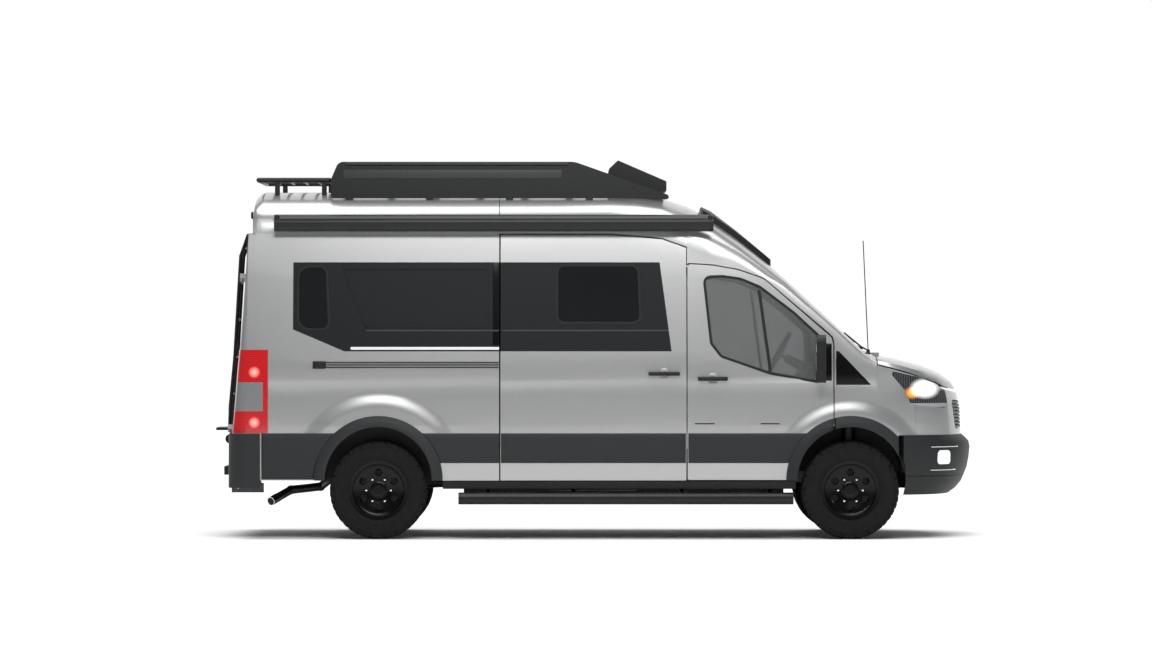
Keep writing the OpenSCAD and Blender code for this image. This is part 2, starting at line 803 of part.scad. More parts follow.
// Strap, upper knuckle and pin, on the corner post
module post_hinge(z) {
  at_rear_hinge(z) {
    translate([0, 0, seat_gap]) cylinder(r = rear_knuckle_r, h = rear_knuckle_h);
    translate([0, 0, -rear_knuckle_h]) cylinder(r = pin_r, h = 2 * rear_knuckle_h);
    difference() {
      block([-10, 0, seat_gap], [48, 100, rear_knuckle_h]);
      block([10, -20, 0], [60, seam / 2 + 1, rear_knuckle_h + 1]);
    }
  }
}

// Ladder on the right rear door: rail as [place from the front axle, height]
ladder_rail = [[-4826, 2425], [-4884, 2259], [-4932, 1446], [-4968, 1056], [-4974, 880]];
ladder_in = 170;
ladder_out = 530;
rail_r = 14;
rung_heights = [1150, 1450, 1750, 2050, 2330];
tread_z = 860;
module tube(a, b, r, sides = 32) {
  d = b - a;
  translate(a) rotate([0, acos(d[2] / norm(d)), atan2(d[1], d[0])])
    cylinder(r = r, h = norm(d), $fn = sides);
}
module ladder() {
  rail = [for (p = ladder_rail) [fa + p[0], 0, p[1]]];
  heights = [for (k = [len(ladder_rail) - 1:-1:0]) [ladder_rail[k][1], ladder_rail[k][0]]];
  color(black) right_hand() union() {
    for (y = [ladder_in, ladder_out]) {
      for (k = [0:len(rail) - 2]) tube(rail[k] + [0, y, 0], rail[k + 1] + [0, y, 0], rail_r);
      for (k = [0:len(rail) - 1]) translate(rail[k] + [0, y, 0]) sphere(r = rail_r + 1, $fn = 32);
      for (z = [1000, 1500, 2380])
        let(x = fa + lookup(z, heights), s = skin(back_station(y), z - 16, 0))
          block([x, y - 12, z - 16], [s[0] - seat_gap, y + 12, z + 16]);
    }
    for (z = rung_heights) rod_y(12, fa + lookup(z, heights), z, ladder_in, ladder_out);
    block([tail, ladder_in - 40, tread_z], [back - seat_gap - 1, ladder_out + 40, tread_z + 22]);
    rod_y(38, back - 40, 790, ladder_in, ladder_out);
    block([back - 40, ladder_in + 20, 790], [back - 20, ladder_out - 20, tread_z + 5]);
  }
}

// Floor with the front bulkhead
module floor() {
  inner = side_y(floor_z - floor_t) - wall_t - seat_gap;
  cab_inner = inner - door_clear;
  foot = 525;
  color(dark) difference() {
    union() {
      block([back + wall_t + seam, -inner, floor_z - floor_t], [x_b - seam / 2, inner, floor_z]);
      block([x_b - seam, -cab_inner, floor_z - floor_t], [fa - arch_r - 20, cab_inner, floor_z]);
      block([fa - arch_r - 21, -foot, floor_z - floor_t], [fa + 100, foot, floor_z]);
      block([fa + 70, -foot, floor_z - 1], [fa + 100, foot, 1360]);
    }
    both_sides() {
      arch_space(ra, 20, liner_in - 2);
      block([back, half_w - corner_r - 20, 0], [back + corner_r + 5, reach, reach]);
    }
  }
}
liner_in = 715;
front_liner_in = 530;
liner_t = 8;
// Liners over the wheels
module wheel_liners() {
  color(black) both_sides() {
    liner(ra, liner_in, side_y(845) - wall_t - seat_gap);
    liner(fa, front_liner_in, side_y(845) - wall_t - seat_gap);
  }
}
module liner(x, y0, y1) {
  c = axle_z + arch_rise;
  difference() {
    rod_y(arch_r + 14, x, c, y0, y1);
    rod_y(arch_r + 14 - liner_t, x, c, y0 + liner_t, y1 + 1);
    block([x - reach, 0, -reach], [x + reach, reach, c + (x == fa ? 60 : 0)]);
    if (x == fa) {
      block([x - reach, half_w - post_in - post_w - 2, 0], [x_a + post_w + 2, reach, reach]);
      translate([fa, strut_y, 0]) cylinder(r = spring_r + 14, h = reach);
      block([fa - 40, 0, rail_low + 15], [fa + 40, strut_y, rail_low + 65]);
    }
  }
}

// Sills under the doors
module sills() {
  x0 = ra + arch_r + flare_w;
  x1 = fa - arch_r - 12;
  color(black) both_sides() {
    wall(x0, x1, sill_z, door_z - seam / 2, 0, wall_t + 50);
    block([x0, side_y(door_z) - wall_t - 45, door_z - 10],
      [x1, side_y(door_z) - wall_t - 8, floor_z - floor_t]);
  }
}
module arch_flares() {
  color(dark) both_sides() {
    flare(ra);
    intersection() {
      flare(fa);
      block([x_a + seam / 2 + 10, 0, 0], [fa + 380, reach, reach]);
    }
  }
}

// Running boards: a flat tube with raised treads, on brackets from the chassis
board_rear = fa - 3122;
board_y = half_w - 36;
board_z = 278;
bracket_places = [fa - 2888, fa - 2210, fa - 1344, fa - 638];
module running_boards() {
  tread = 92;
  ends = rounded([
    [board_y - tread / 2, board_z, 30], [board_y + tread / 2 + 10, board_z, 40],
    [board_y + tread / 2 + 10, board_z + board_h, 40], [board_y - tread / 2, board_z + board_h, 30]
  ]);
  color(black) both_sides() union() {
    along(ends, board_rear, board_rear + board_l);
    for (x = bracket_places) {
      block([x - 18, rail_y1, floor_z - floor_t - 150], [x + 18, rail_y1 + 40, floor_z - floor_t - 60]);
      tube([x, rail_y1 + 20, floor_z - floor_t - 130], [x, board_y - 20, board_z + board_h / 2], 16);
    }
  }
}

// Awning on the right side
awning_rear = fa - 4589;
awning_z = 2451;
module awning() {
  y0 = side_y(drip_z) - 1.6;
  deep = 150;
  case = rounded([
    [y0, awning_z + 20, 8], [y0 + 40, awning_z, 20], [y0 + deep - 20, awning_z, 40],
    [y0 + deep, awning_z + awning_h - 20, 60], [y0 + 40, awning_z + awning_h, 30],
    [y0, awning_z + awning_h - 30, 8]
  ]);
  color(black) right_hand() along(case, awning_rear, awning_rear + awning_l);
}

// Roof rack: two side fairings with a sloping front end, rails and cross bars
rack_rear = fa - 4150;
rack_y = 700;
rack_t = 18;
crossbars = 6;
// Height of the roof's skin at a place across the van
function roof_at(y) =
  lookup(y, [for (q = crown(ra, side_y(drip_z), 0, crown_power, crown_steps)) [q[1], q[2]]]);
rack_z = roof_h + rack_rise;
rack_slope = 960;
rack_feet = 4;
module roof_rack() {
  low = roof_at(rack_y) + 10;
  flat_l = rack_l - rack_slope;
  side = rounded([
    [rack_rear, low, 20], [rack_rear + rack_l - 560, low, 0], [rack_rear + rack_l - 100, low - 12, 20],
    [rack_rear + flat_l, rack_z, 200], [rack_rear + 60, rack_z, 60], [rack_rear, rack_z - 140, 30]
  ]);
  color(black) union() {
    both_sides() {
      across(side, rack_y, rack_y + rack_t);
      for (k = [0:rack_feet - 1])
        let(x = rack_rear + 120 + k * (flat_l - 34) / (rack_feet - 1))
          block([x, rack_y - 10, roof_at(rack_y - 10) + seat_gap], [x + 60, rack_y + rack_t, low + 20]);
    }
    for (k = [0:crossbars - 1])
      let(x = rack_rear + 80 + k * (flat_l - 154) / (crossbars - 1))
        block([x, -rack_y - 1, rack_z - 46], [x + 60, rack_y + 1, rack_z - 16]);
  }
}
module rear_rack() {
  y = 560;
  x0 = fa - 4757 + 20;
  x1 = fa - 4170;
  z = roof_h + 90;
  color(black) union() {
    both_sides() {
      rod_y(20, x0, z, 0, y);
      rod_y(20, x1, z, 0, y);
      tube([x0, y, z], [x1, y, z], 20);
      for (x = [x0, x1]) translate([x, y, z]) sphere(r = 20);
      for (x = [x0 + 130, x1 - 60])
        block([x, y - 12, roof_at(y - 12) + seat_gap], [x + 40, y + 12, z]);
    }
    for (k = [1:4]) let(x = x0 + (x1 - x0) * k / 5) rod_y(12, x, z, -y, y);
  }
}
module roof_deflector() {
  low = roof_h + 0.4;
  outline = rounded(from_axle([
    [-1935, low, 0], [-1458, low, 10], [-1458, roof_h + 81, 10], [-1849, roof_h + 250, 12],
    [-1923, roof_h + 179, 30]
  ]));
  color(black) across(outline, -560, 560);
}
// Layered fairing over the top of the windscreen
fairing_places = [for (x = cab_places) if (x < fa - 500) x];
module cab_fairing() {
  color(black) intersection() {
    shell(
      [for (x = fairing_places) whole(crown(x, shoulder_y(x), -56, crown_power, crown_steps))],
      [for (x = fairing_places) whole(crown(x, shoulder_y(x), -0.5, crown_power, crown_steps))]
    );
    translate([0, 0, 1500]) linear_extrude(reach)
      polygon(rounded([
        [fa - 1170, 640, 60], [fa - 1170, -640, 60], [fa - 620, -560, 60], [fa - 600, 0, 0],
        [fa - 620, 560, 60]
      ]));
  }
}
antenna_base = [fa + 150, -800, 1462];
antenna_r = 20;
module antenna() {
  color(black) union() {
    translate(antenna_base) cylinder(r1 = antenna_r, r2 = 12, h = 50);
    tube(antenna_base + [0, 0, 40], antenna_base + [-40, 0, 918], 4);
  }
}

// Inside of the cab
module seats() {
  seat_y = 430;
  back_rest = rounded(from_axle([
    [-1150, 1060, 40], [-1130, 1200, 60], [-1220, 1760, 34], [-1310, 1760, 34], [-1290, 1060, 60]
  ]));
  color(dark) both_sides() union() {
    block([fa - 1180, seat_y - 200, floor_z], [fa - 720, seat_y + 200, 980]);
    across(rounded(from_axle([
      [-1250, 960, 20], [-660, 960, 40], [-640, 1090, 50], [-1250, 1080, 20]
    ])), seat_y - 255, seat_y + 255);
    across(back_rest, seat_y - 250, seat_y + 250);
    across(rounded(from_axle([
      [-1234, 1720, 0], [-1225, 1920, 30], [-1305, 1920, 30], [-1296, 1720, 0]
    ])), seat_y - 130, seat_y + 130);
  }
}
module dashboard() {
  half = half_w - post_in - post_w;
  color(black) union() {
    across(rounded(from_axle([
      [-330, 1060, 40], [-370, 1300, 60], [-280, 1390, 60], [-20, 1440, 40], [60, 1380, 20], [70, 1060, 0]
    ])), -half, half);
    tube(wheel_centre - 60 * wheel_axis, wheel_centre - 260 * wheel_axis, 38);
  }
}
wheel_axis = [-cos(28), 0, sin(28)];
wheel_centre = [fa - 520, 400, 1470];
column_r = 16;
module steering_wheel() {
  color(black) translate(wheel_centre) rotate([0, -62, 0]) union() {
    rotate_extrude() translate([185, 0]) circle(r = 16);
    translate([0, 0, -30]) cylinder(r = 60, h = 40);
    for (a = [0, 130, 230]) rotate([0, 0, a]) block([40, -20, -20], [180, 20, -4]);
    translate([0, 0, -59.5]) cylinder(r = column_r, h = 40);
  }
}

// Below the floor
rail_y0 = 400;
rail_y1 = 480;
rail_low = floor_z - floor_t - 120;
module chassis() {
  top = floor_z - floor_t;
  members = [back + 120, ra - 520, ra + 560, fa - 1900, fa - 1200, fa - 640, fa + 120, fa + 560];
  color(steel) union() {
    both_sides() difference() {
      block([back + 90, rail_y0, rail_low], [fa + 780, rail_y1, top]);
      block([back + 80, rail_y0 - 1, rail_low + 8], [fa + 790, rail_y1 - 8, top - 8]);
    }
    for (x = members) block([x, -rail_y0 - 2, rail_low], [x + 70, rail_y0 + 2, rail_low + 40]);
    both_sides() block([fa + 740, rail_y0 - 2, rail_low], [fa + 865, rail_y1, top - 20]);
    block([back + 130, -hitch_half, hitch_z], [back + 180, hitch_half, rail_low + 10]);
    difference() {
      block([back - 60, -hitch_half, hitch_z - hitch_half], [back + 200, hitch_half, hitch_z + hitch_half]);
      block(
        [back - 70, -hitch_w / 2, hitch_z - hitch_w / 2],
        [back + 120, hitch_w / 2, hitch_z + hitch_w / 2]
      );
      rod_y(hitch_pin_r, back - 10, hitch_z, -60, 60);
    }
  }
}
// Tow bar socket below the rear bumper
hitch_z = 380;
hitch_half = 38;
module engine() {
  color("#4a4c4e") union() {
    block([fa + 112, -300, rail_low + 40], [fa + 700, 300, 1180]);
    block([fa - 60, -150, 430], [fa + 118, 150, 650]);
    block([fa - 760, -150, 430], [fa - 59, 150, rail_low - 1]);
  }
}
module fuel_tank() {
  tank = rounded([[60, 440, 40], [390, 440, 40], [390, 559, 0], [60, 559, 0]]);
  color(black) union() {
    along(tank, fa - 2400, fa - 1560);
    block([fa - 2350, 60, 550], [fa - 1920, 380, floor_z - floor_t]);
    block([fa - 1800, 60, 550], [fa - 1610, 380, floor_z - floor_t]);
  }
}
exhaust_path = [
  [-760, -260, 500], [-1500, -300, 455], [-2600, -300, 455], [-3200, -330, 510], [-3500, -340, 600],
  [-4000, -340, 600], [-4250, -340, 400], [-4480, -560, 380], [-4626, -780, 296]
];
pipe_r = 34;
pipe_sides = 12;
muffler_r = 90;
module exhaust() {
  path = [for (p = exhaust_path) [fa + p[0], p[1], p[2]]];
  color(steel) union() {
    for (k = [0:len(path) - 2]) tube(path[k], path[k + 1], pipe_r, pipe_sides);
    for (k = [1:len(path) - 2]) translate(path[k]) sphere(r = pipe_r + 4, $fn = pipe_sides);
    tube([fa - 1700, -300, 455], [fa - 2400, -300, 455], muffler_r, pipe_sides);
    block([fa - 1730, -320, 500], [fa - 1705, -280, floor_z - floor_t]);
    block([fa - 2700, -320, 460], [fa - 2670, -280, floor_z - floor_t]);
    block([fa - 3700, -360, 600], [fa - 3670, -320, floor_z - floor_t]);
  }
}

// Axles and suspension
arm_z = 122;
arm_h = 28;
king_r = 12;
strut_y = 640;
spring_r = 55;
module front_suspension() {
  color(black) union() {
    block([fa - 90, -rail_y1, axle_z - arm_z - arm_h], [fa + 90, rail_y1, axle_z - arm_z + 20]);
    both_sides() {
      block([fa - 60, rail_y0, axle_z - arm_z], [fa + 60, rail_y1, rail_low]);
      arm(axle_z - arm_z - arm_h, rail_y1 - 10);
      arm(axle_z + arm_z, strut_y - 30);
      translate([fa, strut_y, axle_z + arm_z]) cylinder(r = 32, h = 540);
      translate([fa, strut_y, 690]) cylinder(r = spring_r, h = 330);
      block([fa - 35, rail_y1, rail_low + 20], [fa + 35, strut_y, rail_low + 60]);
    }
  }
}
// Link with an eye for the steering pin
module arm(z, y0) {
  difference() {
    union() {
      block([fa - 30, y0, z], [fa + 30, king_y, z + arm_h]);
      translate([fa, king_y, z]) cylinder(r = 30, h = arm_h);
    }
    translate([fa, king_y, z - 1]) cylinder(r = king_r + run_gap, h = arm_h + 2);
  }
}
module knuckle() {
  union() {
    block([fa - 42, king_y - 36, axle_z - 120], [fa + 42, king_y + 5, axle_z + 120]);
    translate([fa, king_y, axle_z - arm_z - arm_h]) cylinder(r = king_r, h = 2 * (arm_z + arm_h));
    spindle(fa, king_y);
  }
}
module spindle(x, y0) {
  rod_y(spindle_r, x, axle_z, y0, wheel_y + hub_out - 14);
}
module knuckle_left() {
  color(steel) knuckle();
}
module knuckle_right() {
  color(steel) right_hand() knuckle();
}
leaf_y = rail_y0 + 40;
leaf_end = rail_low - 60;
leaf = [
  [-640, leaf_end], [0, axle_z + 40], [640, leaf_end],
  [640, leaf_end - 32], [0, axle_z + 4], [-640, leaf_end - 32]
];
module rear_axle() {
  color(black) union() {
    rod_y(48, ra, axle_z, -wheel_y + hub_in + 6, wheel_y - hub_in - 6);
    translate([ra, 0, axle_z]) sphere(r = 150);
    tube([ra + 100, 0, axle_z + 20], [fa - 764, 0, 520], 42);
    both_sides() {
      spindle(ra, 600);
      across([for (p = leaf) [ra + p[0], p[1]]], leaf_y - 35, leaf_y + 35);
      for (x = [-620, 620])
        block([ra + x - 20, leaf_y - 30, rail_low - 80], [ra + x + 20, leaf_y + 30, rail_low]);
      tube([ra - 60, rail_y1 + 60, axle_z], [ra - 160, rail_y1 + 40, floor_z - floor_t - 14], 28);
    }
  }
}

// Wheels, about their own axis, outwards positive
rim_half = 108;
hub_in = 12;
hub_out = 92;
lug_windows = 6;
module rim() {
  difference() {
    rotate_extrude($fn = 96) polygon([
      [0, -hub_in], [78, -hub_in], [78, 6], [160, 6], [160, 20], [100, 20], [100, 40], [196, 66],
      [rim_d / 2 - 16, 30], [rim_d / 2 - 16, -rim_half],
      [rim_d / 2 + 20, -rim_half], [rim_d / 2 + 20, -rim_half + 8], [rim_d / 2, -rim_half + 10],
      [rim_d / 2, rim_half - 10], [rim_d / 2 + 20, rim_half - 8], [rim_d / 2 + 20, rim_half],
      [rim_d / 2 - 8, rim_half - 2], [rim_d / 2 - 22, 92], [150, 84], [70, 62], [60, 66],
      [58, hub_out], [0, hub_out]
    ]);
    translate([0, 0, -hub_in - 1]) cylinder(r = spindle_r + run_gap, h = hub_in + hub_out - 12);
    for (k = [0:lug_windows - 1]) rotate([0, 0, 30 + 360 * k / lug_windows])
      translate([142, 0, 24]) cylinder(r = 30, h = 100);
  }
}
// Tyre with lugs along both shoulders, left by slots between them
lugs = 18;
lug_depth = 12;
lug_gap = 24;
lug_l = 54;
module tyre() {
  r = tyre_d / 2;
  w = tyre_w / 2;
  b = rim_d / 2 + seat_gap;
  difference() {
    rotate_extrude($fn = 96) polygon([
      [b, -rim_half + 12], [b + 22, -rim_half + 10], [b + 45, -w + 4], [b + 90, -w], [r - 52, -w + 4],
      [r - 14, -w + 14], [r, -w + 32], [r, w - 32], [r - 14, w - 14], [r - 52, w - 4], [b + 90, w],
      [b + 45, w - 4], [b + 22, rim_half - 10], [b, rim_half - 12]
    ]);
    for (k = [0:lugs - 1], side = [0, 1])
      rotate([0, 0, (k + side / 2) * 360 / lugs]) mirror([0, 0, side])
        block([r - lug_depth, -lug_gap / 2, w - lug_l], [r + lug_depth, lug_gap / 2, w + lug_depth]);
  }
}
module at_wheel(x) {
  translate([x, wheel_y, axle_z]) rotate([-90, 0, 0]) children();
}
rim_black = "#1c1d1e";
rubber = "#262626";
module rim_front_left() {
  color(rim_black) at_wheel(fa) rim();
}
module rim_front_right() {
  color(rim_black) right_hand() at_wheel(fa) rim();
}
module rim_rear_left() {
  color(rim_black) at_wheel(ra) rim();
}
module rim_rear_right() {
  color(rim_black) right_hand() at_wheel(ra) rim();
}
module tyre_front_left() {
  color(rubber) at_wheel(fa) tyre();
}
module tyre_front_right() {
  color(rubber) right_hand() at_wheel(fa) tyre();
}
module tyre_rear_left() {
  color(rubber) at_wheel(ra) tyre();
}
module tyre_rear_right() {
  color(rubber) right_hand() at_wheel(ra) tyre();
}

// Rear bumper: corners round the posts, a bar between them and a step pad
bumper_rear_front = fa - 4700;
module bumper_rear() {
  stations = concat(
    [back_station(post_edge + 10)],
    [for (a = corner_angles) corner_station(a)],
    [side_station(bumper_rear_front)]
  );
  levels = [408, door_z, 607, 840];
  color(dark) union() {
    both_sides() {
      shell(
        [for (s = stations) [for (z = levels) skin(s, z, -27)]],
        [for (s = stations) [for (z = levels) skin(s, z, -0.5)]]
      );
    }
    block([back - 27, -post_edge - 12, 440], [back - 0.5, post_edge + 12, 600]);
    block([back - 1, -post_edge + 1, 440], [back + 60, post_edge - 1, 600]);
    block([back - 88, -520, 500], [back - 26, 520, 569]);
    both_sides() block([back + 59, rail_y0, 540], [back + 90, rail_y1, 590]);
  }
}

floor();
side_left();
quarter_right();
sliding_door();
roof();
cab_shell();
fenders();
fascia();
grille();
bumper_front();
front_lamps();
windscreen();
living_windows();
tail_lamps();
bumper_rear();
sills();
arch_flares();
wheel_liners();
running_boards();
awning();
roof_rack();
rear_rack();
roof_deflector();
cab_fairing();
antenna();
seats();
dashboard();
engine();
chassis();
front_suspension();
rear_axle();
fuel_tank();
exhaust();
door_right();
door_left();
glass_right();
glass_left();
mirror_right();
mirror_left();
rear_door_right();
rear_door_left();
rear_glass_right();
rear_glass_left();
ladder();
hood();
steering_wheel();
knuckle_right();
knuckle_left();
rim_front_right();
rim_front_left();
rim_rear_right();
rim_rear_left();
tyre_front_right();
tyre_front_left();
tyre_rear_right();
tyre_rear_left();
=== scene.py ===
"""Camper van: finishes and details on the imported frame, in metres, with the van facing +X."""

import json
import math

import bmesh
import bpy
from mathutils import Matrix, Vector


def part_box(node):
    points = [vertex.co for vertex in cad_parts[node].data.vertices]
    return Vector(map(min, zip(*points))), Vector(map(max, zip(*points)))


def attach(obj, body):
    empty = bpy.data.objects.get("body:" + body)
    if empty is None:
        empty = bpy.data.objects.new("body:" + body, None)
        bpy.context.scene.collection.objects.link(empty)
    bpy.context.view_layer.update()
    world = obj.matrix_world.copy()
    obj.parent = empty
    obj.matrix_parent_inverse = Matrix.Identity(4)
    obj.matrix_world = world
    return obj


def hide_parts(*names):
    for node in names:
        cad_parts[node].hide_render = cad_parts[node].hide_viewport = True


bl_info = {
    "name": "Camper van looks",
    "version": (1, 0, 0),
    "blender": (4, 5, 0),
    "location": "3D View > Sidebar > Van",
    "description": "Finishes and details of a camper van on its packed frame",
    "category": "Object",
}

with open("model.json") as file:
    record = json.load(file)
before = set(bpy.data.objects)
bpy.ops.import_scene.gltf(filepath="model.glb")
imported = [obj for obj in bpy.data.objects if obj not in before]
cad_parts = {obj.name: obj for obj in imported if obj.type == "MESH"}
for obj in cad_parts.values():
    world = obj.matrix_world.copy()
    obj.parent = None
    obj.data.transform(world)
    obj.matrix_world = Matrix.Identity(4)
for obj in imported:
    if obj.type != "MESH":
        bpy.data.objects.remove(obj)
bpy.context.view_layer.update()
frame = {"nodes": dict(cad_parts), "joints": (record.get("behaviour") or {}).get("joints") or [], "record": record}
JOINT = {joint["name"]: joint for joint in frame["joints"]}

# Places along and across the van, from the joints and nodes
FA, WHEEL_Y, AXLE_Z = JOINT["wheel_front_left_spin"]["pos_m"]
RA = JOINT["wheel_rear_left_spin"]["pos_m"][0]
DOOR_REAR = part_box("door_right")[0].x
SLIDER_REAR, SLIDER_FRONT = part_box("sliding_door")[0].x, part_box("sliding_door")[1].x
RIGHT, LEFT = -1, 1
SIDES = ((RIGHT, "right"), (LEFT, "left"))

# Gap between panels, half width of the body, and middle height and radius of the arch flares
SEAM = 0.010
HALF_W = 1.030
ARCH_Z = AXLE_Z + 0.080
FLARE_R = 0.512
# Power of the curve across the roof, windscreen and hood, and the roof's rise above its drip rail
CROWN_POWER = 3
DRIP_Z = 2.436
ROOF_RISE = 0.345

# How far the side leans in at each height: (height, inset)
SIDE_LEAN = (
    (0.401, 0.045), (0.468, 0.030), (0.607, 0.010), (0.845, 0.002), (0.905, 0.0), (1.100, 0.003),
    (1.140, 0.009), (1.240, 0.010), (1.275, 0.005), (1.400, 0.011), (1.500, 0.024), (1.800, 0.060),
    (2.100, 0.096), (2.206, 0.110), (2.436, 0.140),
)
# Middle line and shoulder line of the windscreen and hood, from the front axle: (place, height)
TOP_LINE = (
    (-0.850, 2.385), (-0.579, 2.153), (0.106, 1.516), (0.206, 1.468), (0.356, 1.444), (0.562, 1.393),
)
SHOULDER_LINE = (
    (-0.898, 2.200), (-0.678, 2.085), (-0.509, 1.990), (-0.141, 1.675), (0.0, 1.545), (0.106, 1.440),
    (0.206, 1.398), (0.356, 1.360), (0.562, 1.300),
)
# How far the front bumper leans back at its front and in at its sides: (height, inset)
BUMPER_FRONT = (
    (0.352, 0.170), (0.390, 0.118), (0.450, 0.069), (0.560, 0.024), (0.640, 0.009), (0.725, 0.0),
    (0.770, 0.010), (0.800, 0.038), (0.828, 0.070),
)
BUMPER_SIDE = ((0.352, 0.070), (0.450, 0.026), (0.560, 0.006), (0.725, 0.0), (0.828, 0.004))
# Plan of the front bumper: where its curve starts, its length and half width, and its powers along and across
BUMPER_START = FA - 0.140
BUMPER_LONG = 1.154
BUMPER_WIDE = 1.034
BUMPER_POWERS = (3.6, 2.4)
# Windows of the side, from the front axle: (place, height, corner radius)
SLIDER_GLASS = (
    (-2.337, 1.722, 0.06), (-1.670, 1.722, 0.06), (-1.690, 2.182, 0.06), (-2.337, 2.182, 0.06),
)
REAR_SIDE_GLASS = (
    (-4.401, 1.670, 0.09), (-4.151, 1.670, 0.06), (-4.175, 2.174, 0.06), (-4.401, 2.174, 0.09),
)
CAB_GLASS = (
    (-1.110, 1.560, 0.04), (-1.030, 1.456, 0.06), (-0.642, 1.321, 0.30), (-0.241, 1.249, 0.03),
    (-0.230, 1.600, 0.02), (-0.453, 1.806, 0.30), (-0.720, 2.010, 0.20), (-0.876, 2.075, 0.20),
    (-1.020, 2.095, 0.06), (-1.168, 2.090, 0.05),
)


def linear(colour):
    """Linear RGBA of an sRGB hex colour."""
    parts = [int(colour[k:k + 2], 16) / 255 for k in (1, 3, 5)]
    return tuple(c / 12.92 if c <= 0.04045 else ((c + 0.055) / 1.055) ** 2.4 for c in parts) + (1.0,)


def distance(name, description, default):
    """A length that can be set in the panel."""
    return bpy.props.FloatProperty(
        name=name, description=description, default=default, unit="LENGTH", subtype="DISTANCE"
    )


def tint(name, description, default):
    """A colour that can be set in the panel, from its hex value."""
    return bpy.props.FloatVectorProperty(
        name=name, description=description, default=linear(default), size=4, min=0, max=1, subtype="COLOR"
    )


class VanSettings(bpy.types.PropertyGroup):
    """Sizes of the details, in metres, and colours of the paint."""

    clad_low: distance("Cladding bottom", "Lower edge of the side cladding", 0.607)
    clad_high: distance("Cladding top", "Upper edge of the side cladding", 0.845)
    clad_out: distance("Cladding depth", "How far the cladding stands out", 0.011)
    band_low: distance("Band bottom", "Lower edge of the dark window band", 1.496)
    band_high: distance("Band top", "Upper edge of the dark window band", 2.206)
    band_rear: distance("Band rear", "Rear end of the band, from the front axle", -4.440)
    gasket_w: distance("Gasket width", "Width of the window gaskets", 0.022)
    tread_depth: distance("Tread depth", "Depth of the tyres' tread", 0.011)
    camera_height: distance("Camera height", "Height of the camera", 1.714)
    camera_away: distance("Camera distance", "Distance of the camera from the middle of the van", 42.0)
    tread_pitches: bpy.props.IntProperty(
        name="Tread pitches", description="Blocks round a tyre", default=44, min=20, max=80
    )
    paint_dark: tint("Paint, dark flakes", "Darker flakes of the silver paint", "#949495")
    paint_bright: tint("Paint, bright flakes", "Brighter flakes of the silver paint", "#a8a8a8")
    band_paint: tint("Band paint", "Colour of the band round the living windows", "#17181a")
    flare_paint: tint("Flare paint", "Colour of the arch flares on the doors", "#27282a")


# Shape helpers


def between(table, x):
    """Straight-line reading of a table of (place, value)."""
    if x <= table[0][0]:
        return table[0][1]
    for (x0, v0), (x1, v1) in zip(table, table[1:]):
        if x <= x1:
            return v0 + (v1 - v0) * (x - x0) / (x1 - x0)
    return table[-1][1]


def side_y(z):
    """Half width of the side's skin at a height."""
    return HALF_W - between(SIDE_LEAN, z)


def on_side(x, z, lift, hand):
    """Point on the side's skin, lifted outwards."""
    return Vector((x, hand * (side_y(z) + lift), z))


def crown(share):
    """Height of the curve across the roof or windscreen, as a share of its rise; share is 1 at the side."""
    return (1 - share ** CROWN_POWER) ** (1 / CROWN_POWER)


def screen_point(x, y, lift):
    """Point on the windscreen or hood, lifted upwards; x from the front axle."""
    shoulder = between(SHOULDER_LINE, x)
    rise = between(TOP_LINE, x) - shoulder
    share = min(abs(y) / side_y(shoulder), 0.999)
    return Vector((FA + x, y, shoulder + rise * crown(share) + lift))


def bumper_point(angle, z, lift, hand):
    """Point on the front bumper's skin at a plan angle from straight ahead, lifted outwards."""
    a = math.radians(angle)
    along, across = BUMPER_POWERS
    u = math.cos(a) ** (2 / along)
    v = math.sin(a) ** (2 / across)
    normal = Vector((along / BUMPER_LONG * u ** (along - 1), across / BUMPER_WIDE * v ** (across - 1)))
    normal.normalize()
    inset = normal.y ** 2 * between(BUMPER_SIDE, z) + normal.x ** 2 * between(BUMPER_FRONT, z) - lift
    x = BUMPER_START + BUMPER_LONG * u - normal.x * inset
    return Vector((x, hand * (BUMPER_WIDE * v - normal.y * inset), z))


def rounded(path, steps=5):
    """Outline of (x, z) points with round corners, from rows of (x from the front axle, z, radius)."""
    points = []
    for i, (x, z, radius) in enumerate(path):
        here = Vector((x, z))
        before = (Vector(path[i - 1][:2]) - here).normalized()
        after = (Vector(path[(i + 1) % len(path)][:2]) - here).normalized()
        half = before.angle(after) / 2
        middle = (before + after).normalized()
        centre = here + middle * (radius / math.sin(half))
        start = (here + before * (radius / math.tan(half))) - centre
        end = (here + after * (radius / math.tan(half))) - centre
        turn = start.angle_signed(end)
        for k in range(steps + 1):
            arm = start.copy()
            arm.rotate(Matrix.Rotation(-turn * k / steps, 2))
            points.append((FA + centre.x + arm.x, centre.y + arm.y))
    return points


def strip(bm, rows, closed=False):
    """Joins rows of points, all as long as each other, with quads."""
    grid = [[bm.verts.new(p) for p in row] for row in rows]
    pairs = list(zip(grid, grid[1:])) + ([(grid[-1], grid[0])] if closed else [])
    for a, b in pairs:
        for i in range(len(a) - 1):
            bm.faces.new((a[i], a[i + 1], b[i + 1], b[i]))


def eased(low, high, soft, count):
    """Steps from low to high, with a soft edge at both ends."""
    inner = [low + soft + (high - low - 2 * soft) * k / count for k in range(1, count)]
    return [low, low + soft * 0.3, low + soft] + inner + [high - soft, high - soft * 0.3, high]


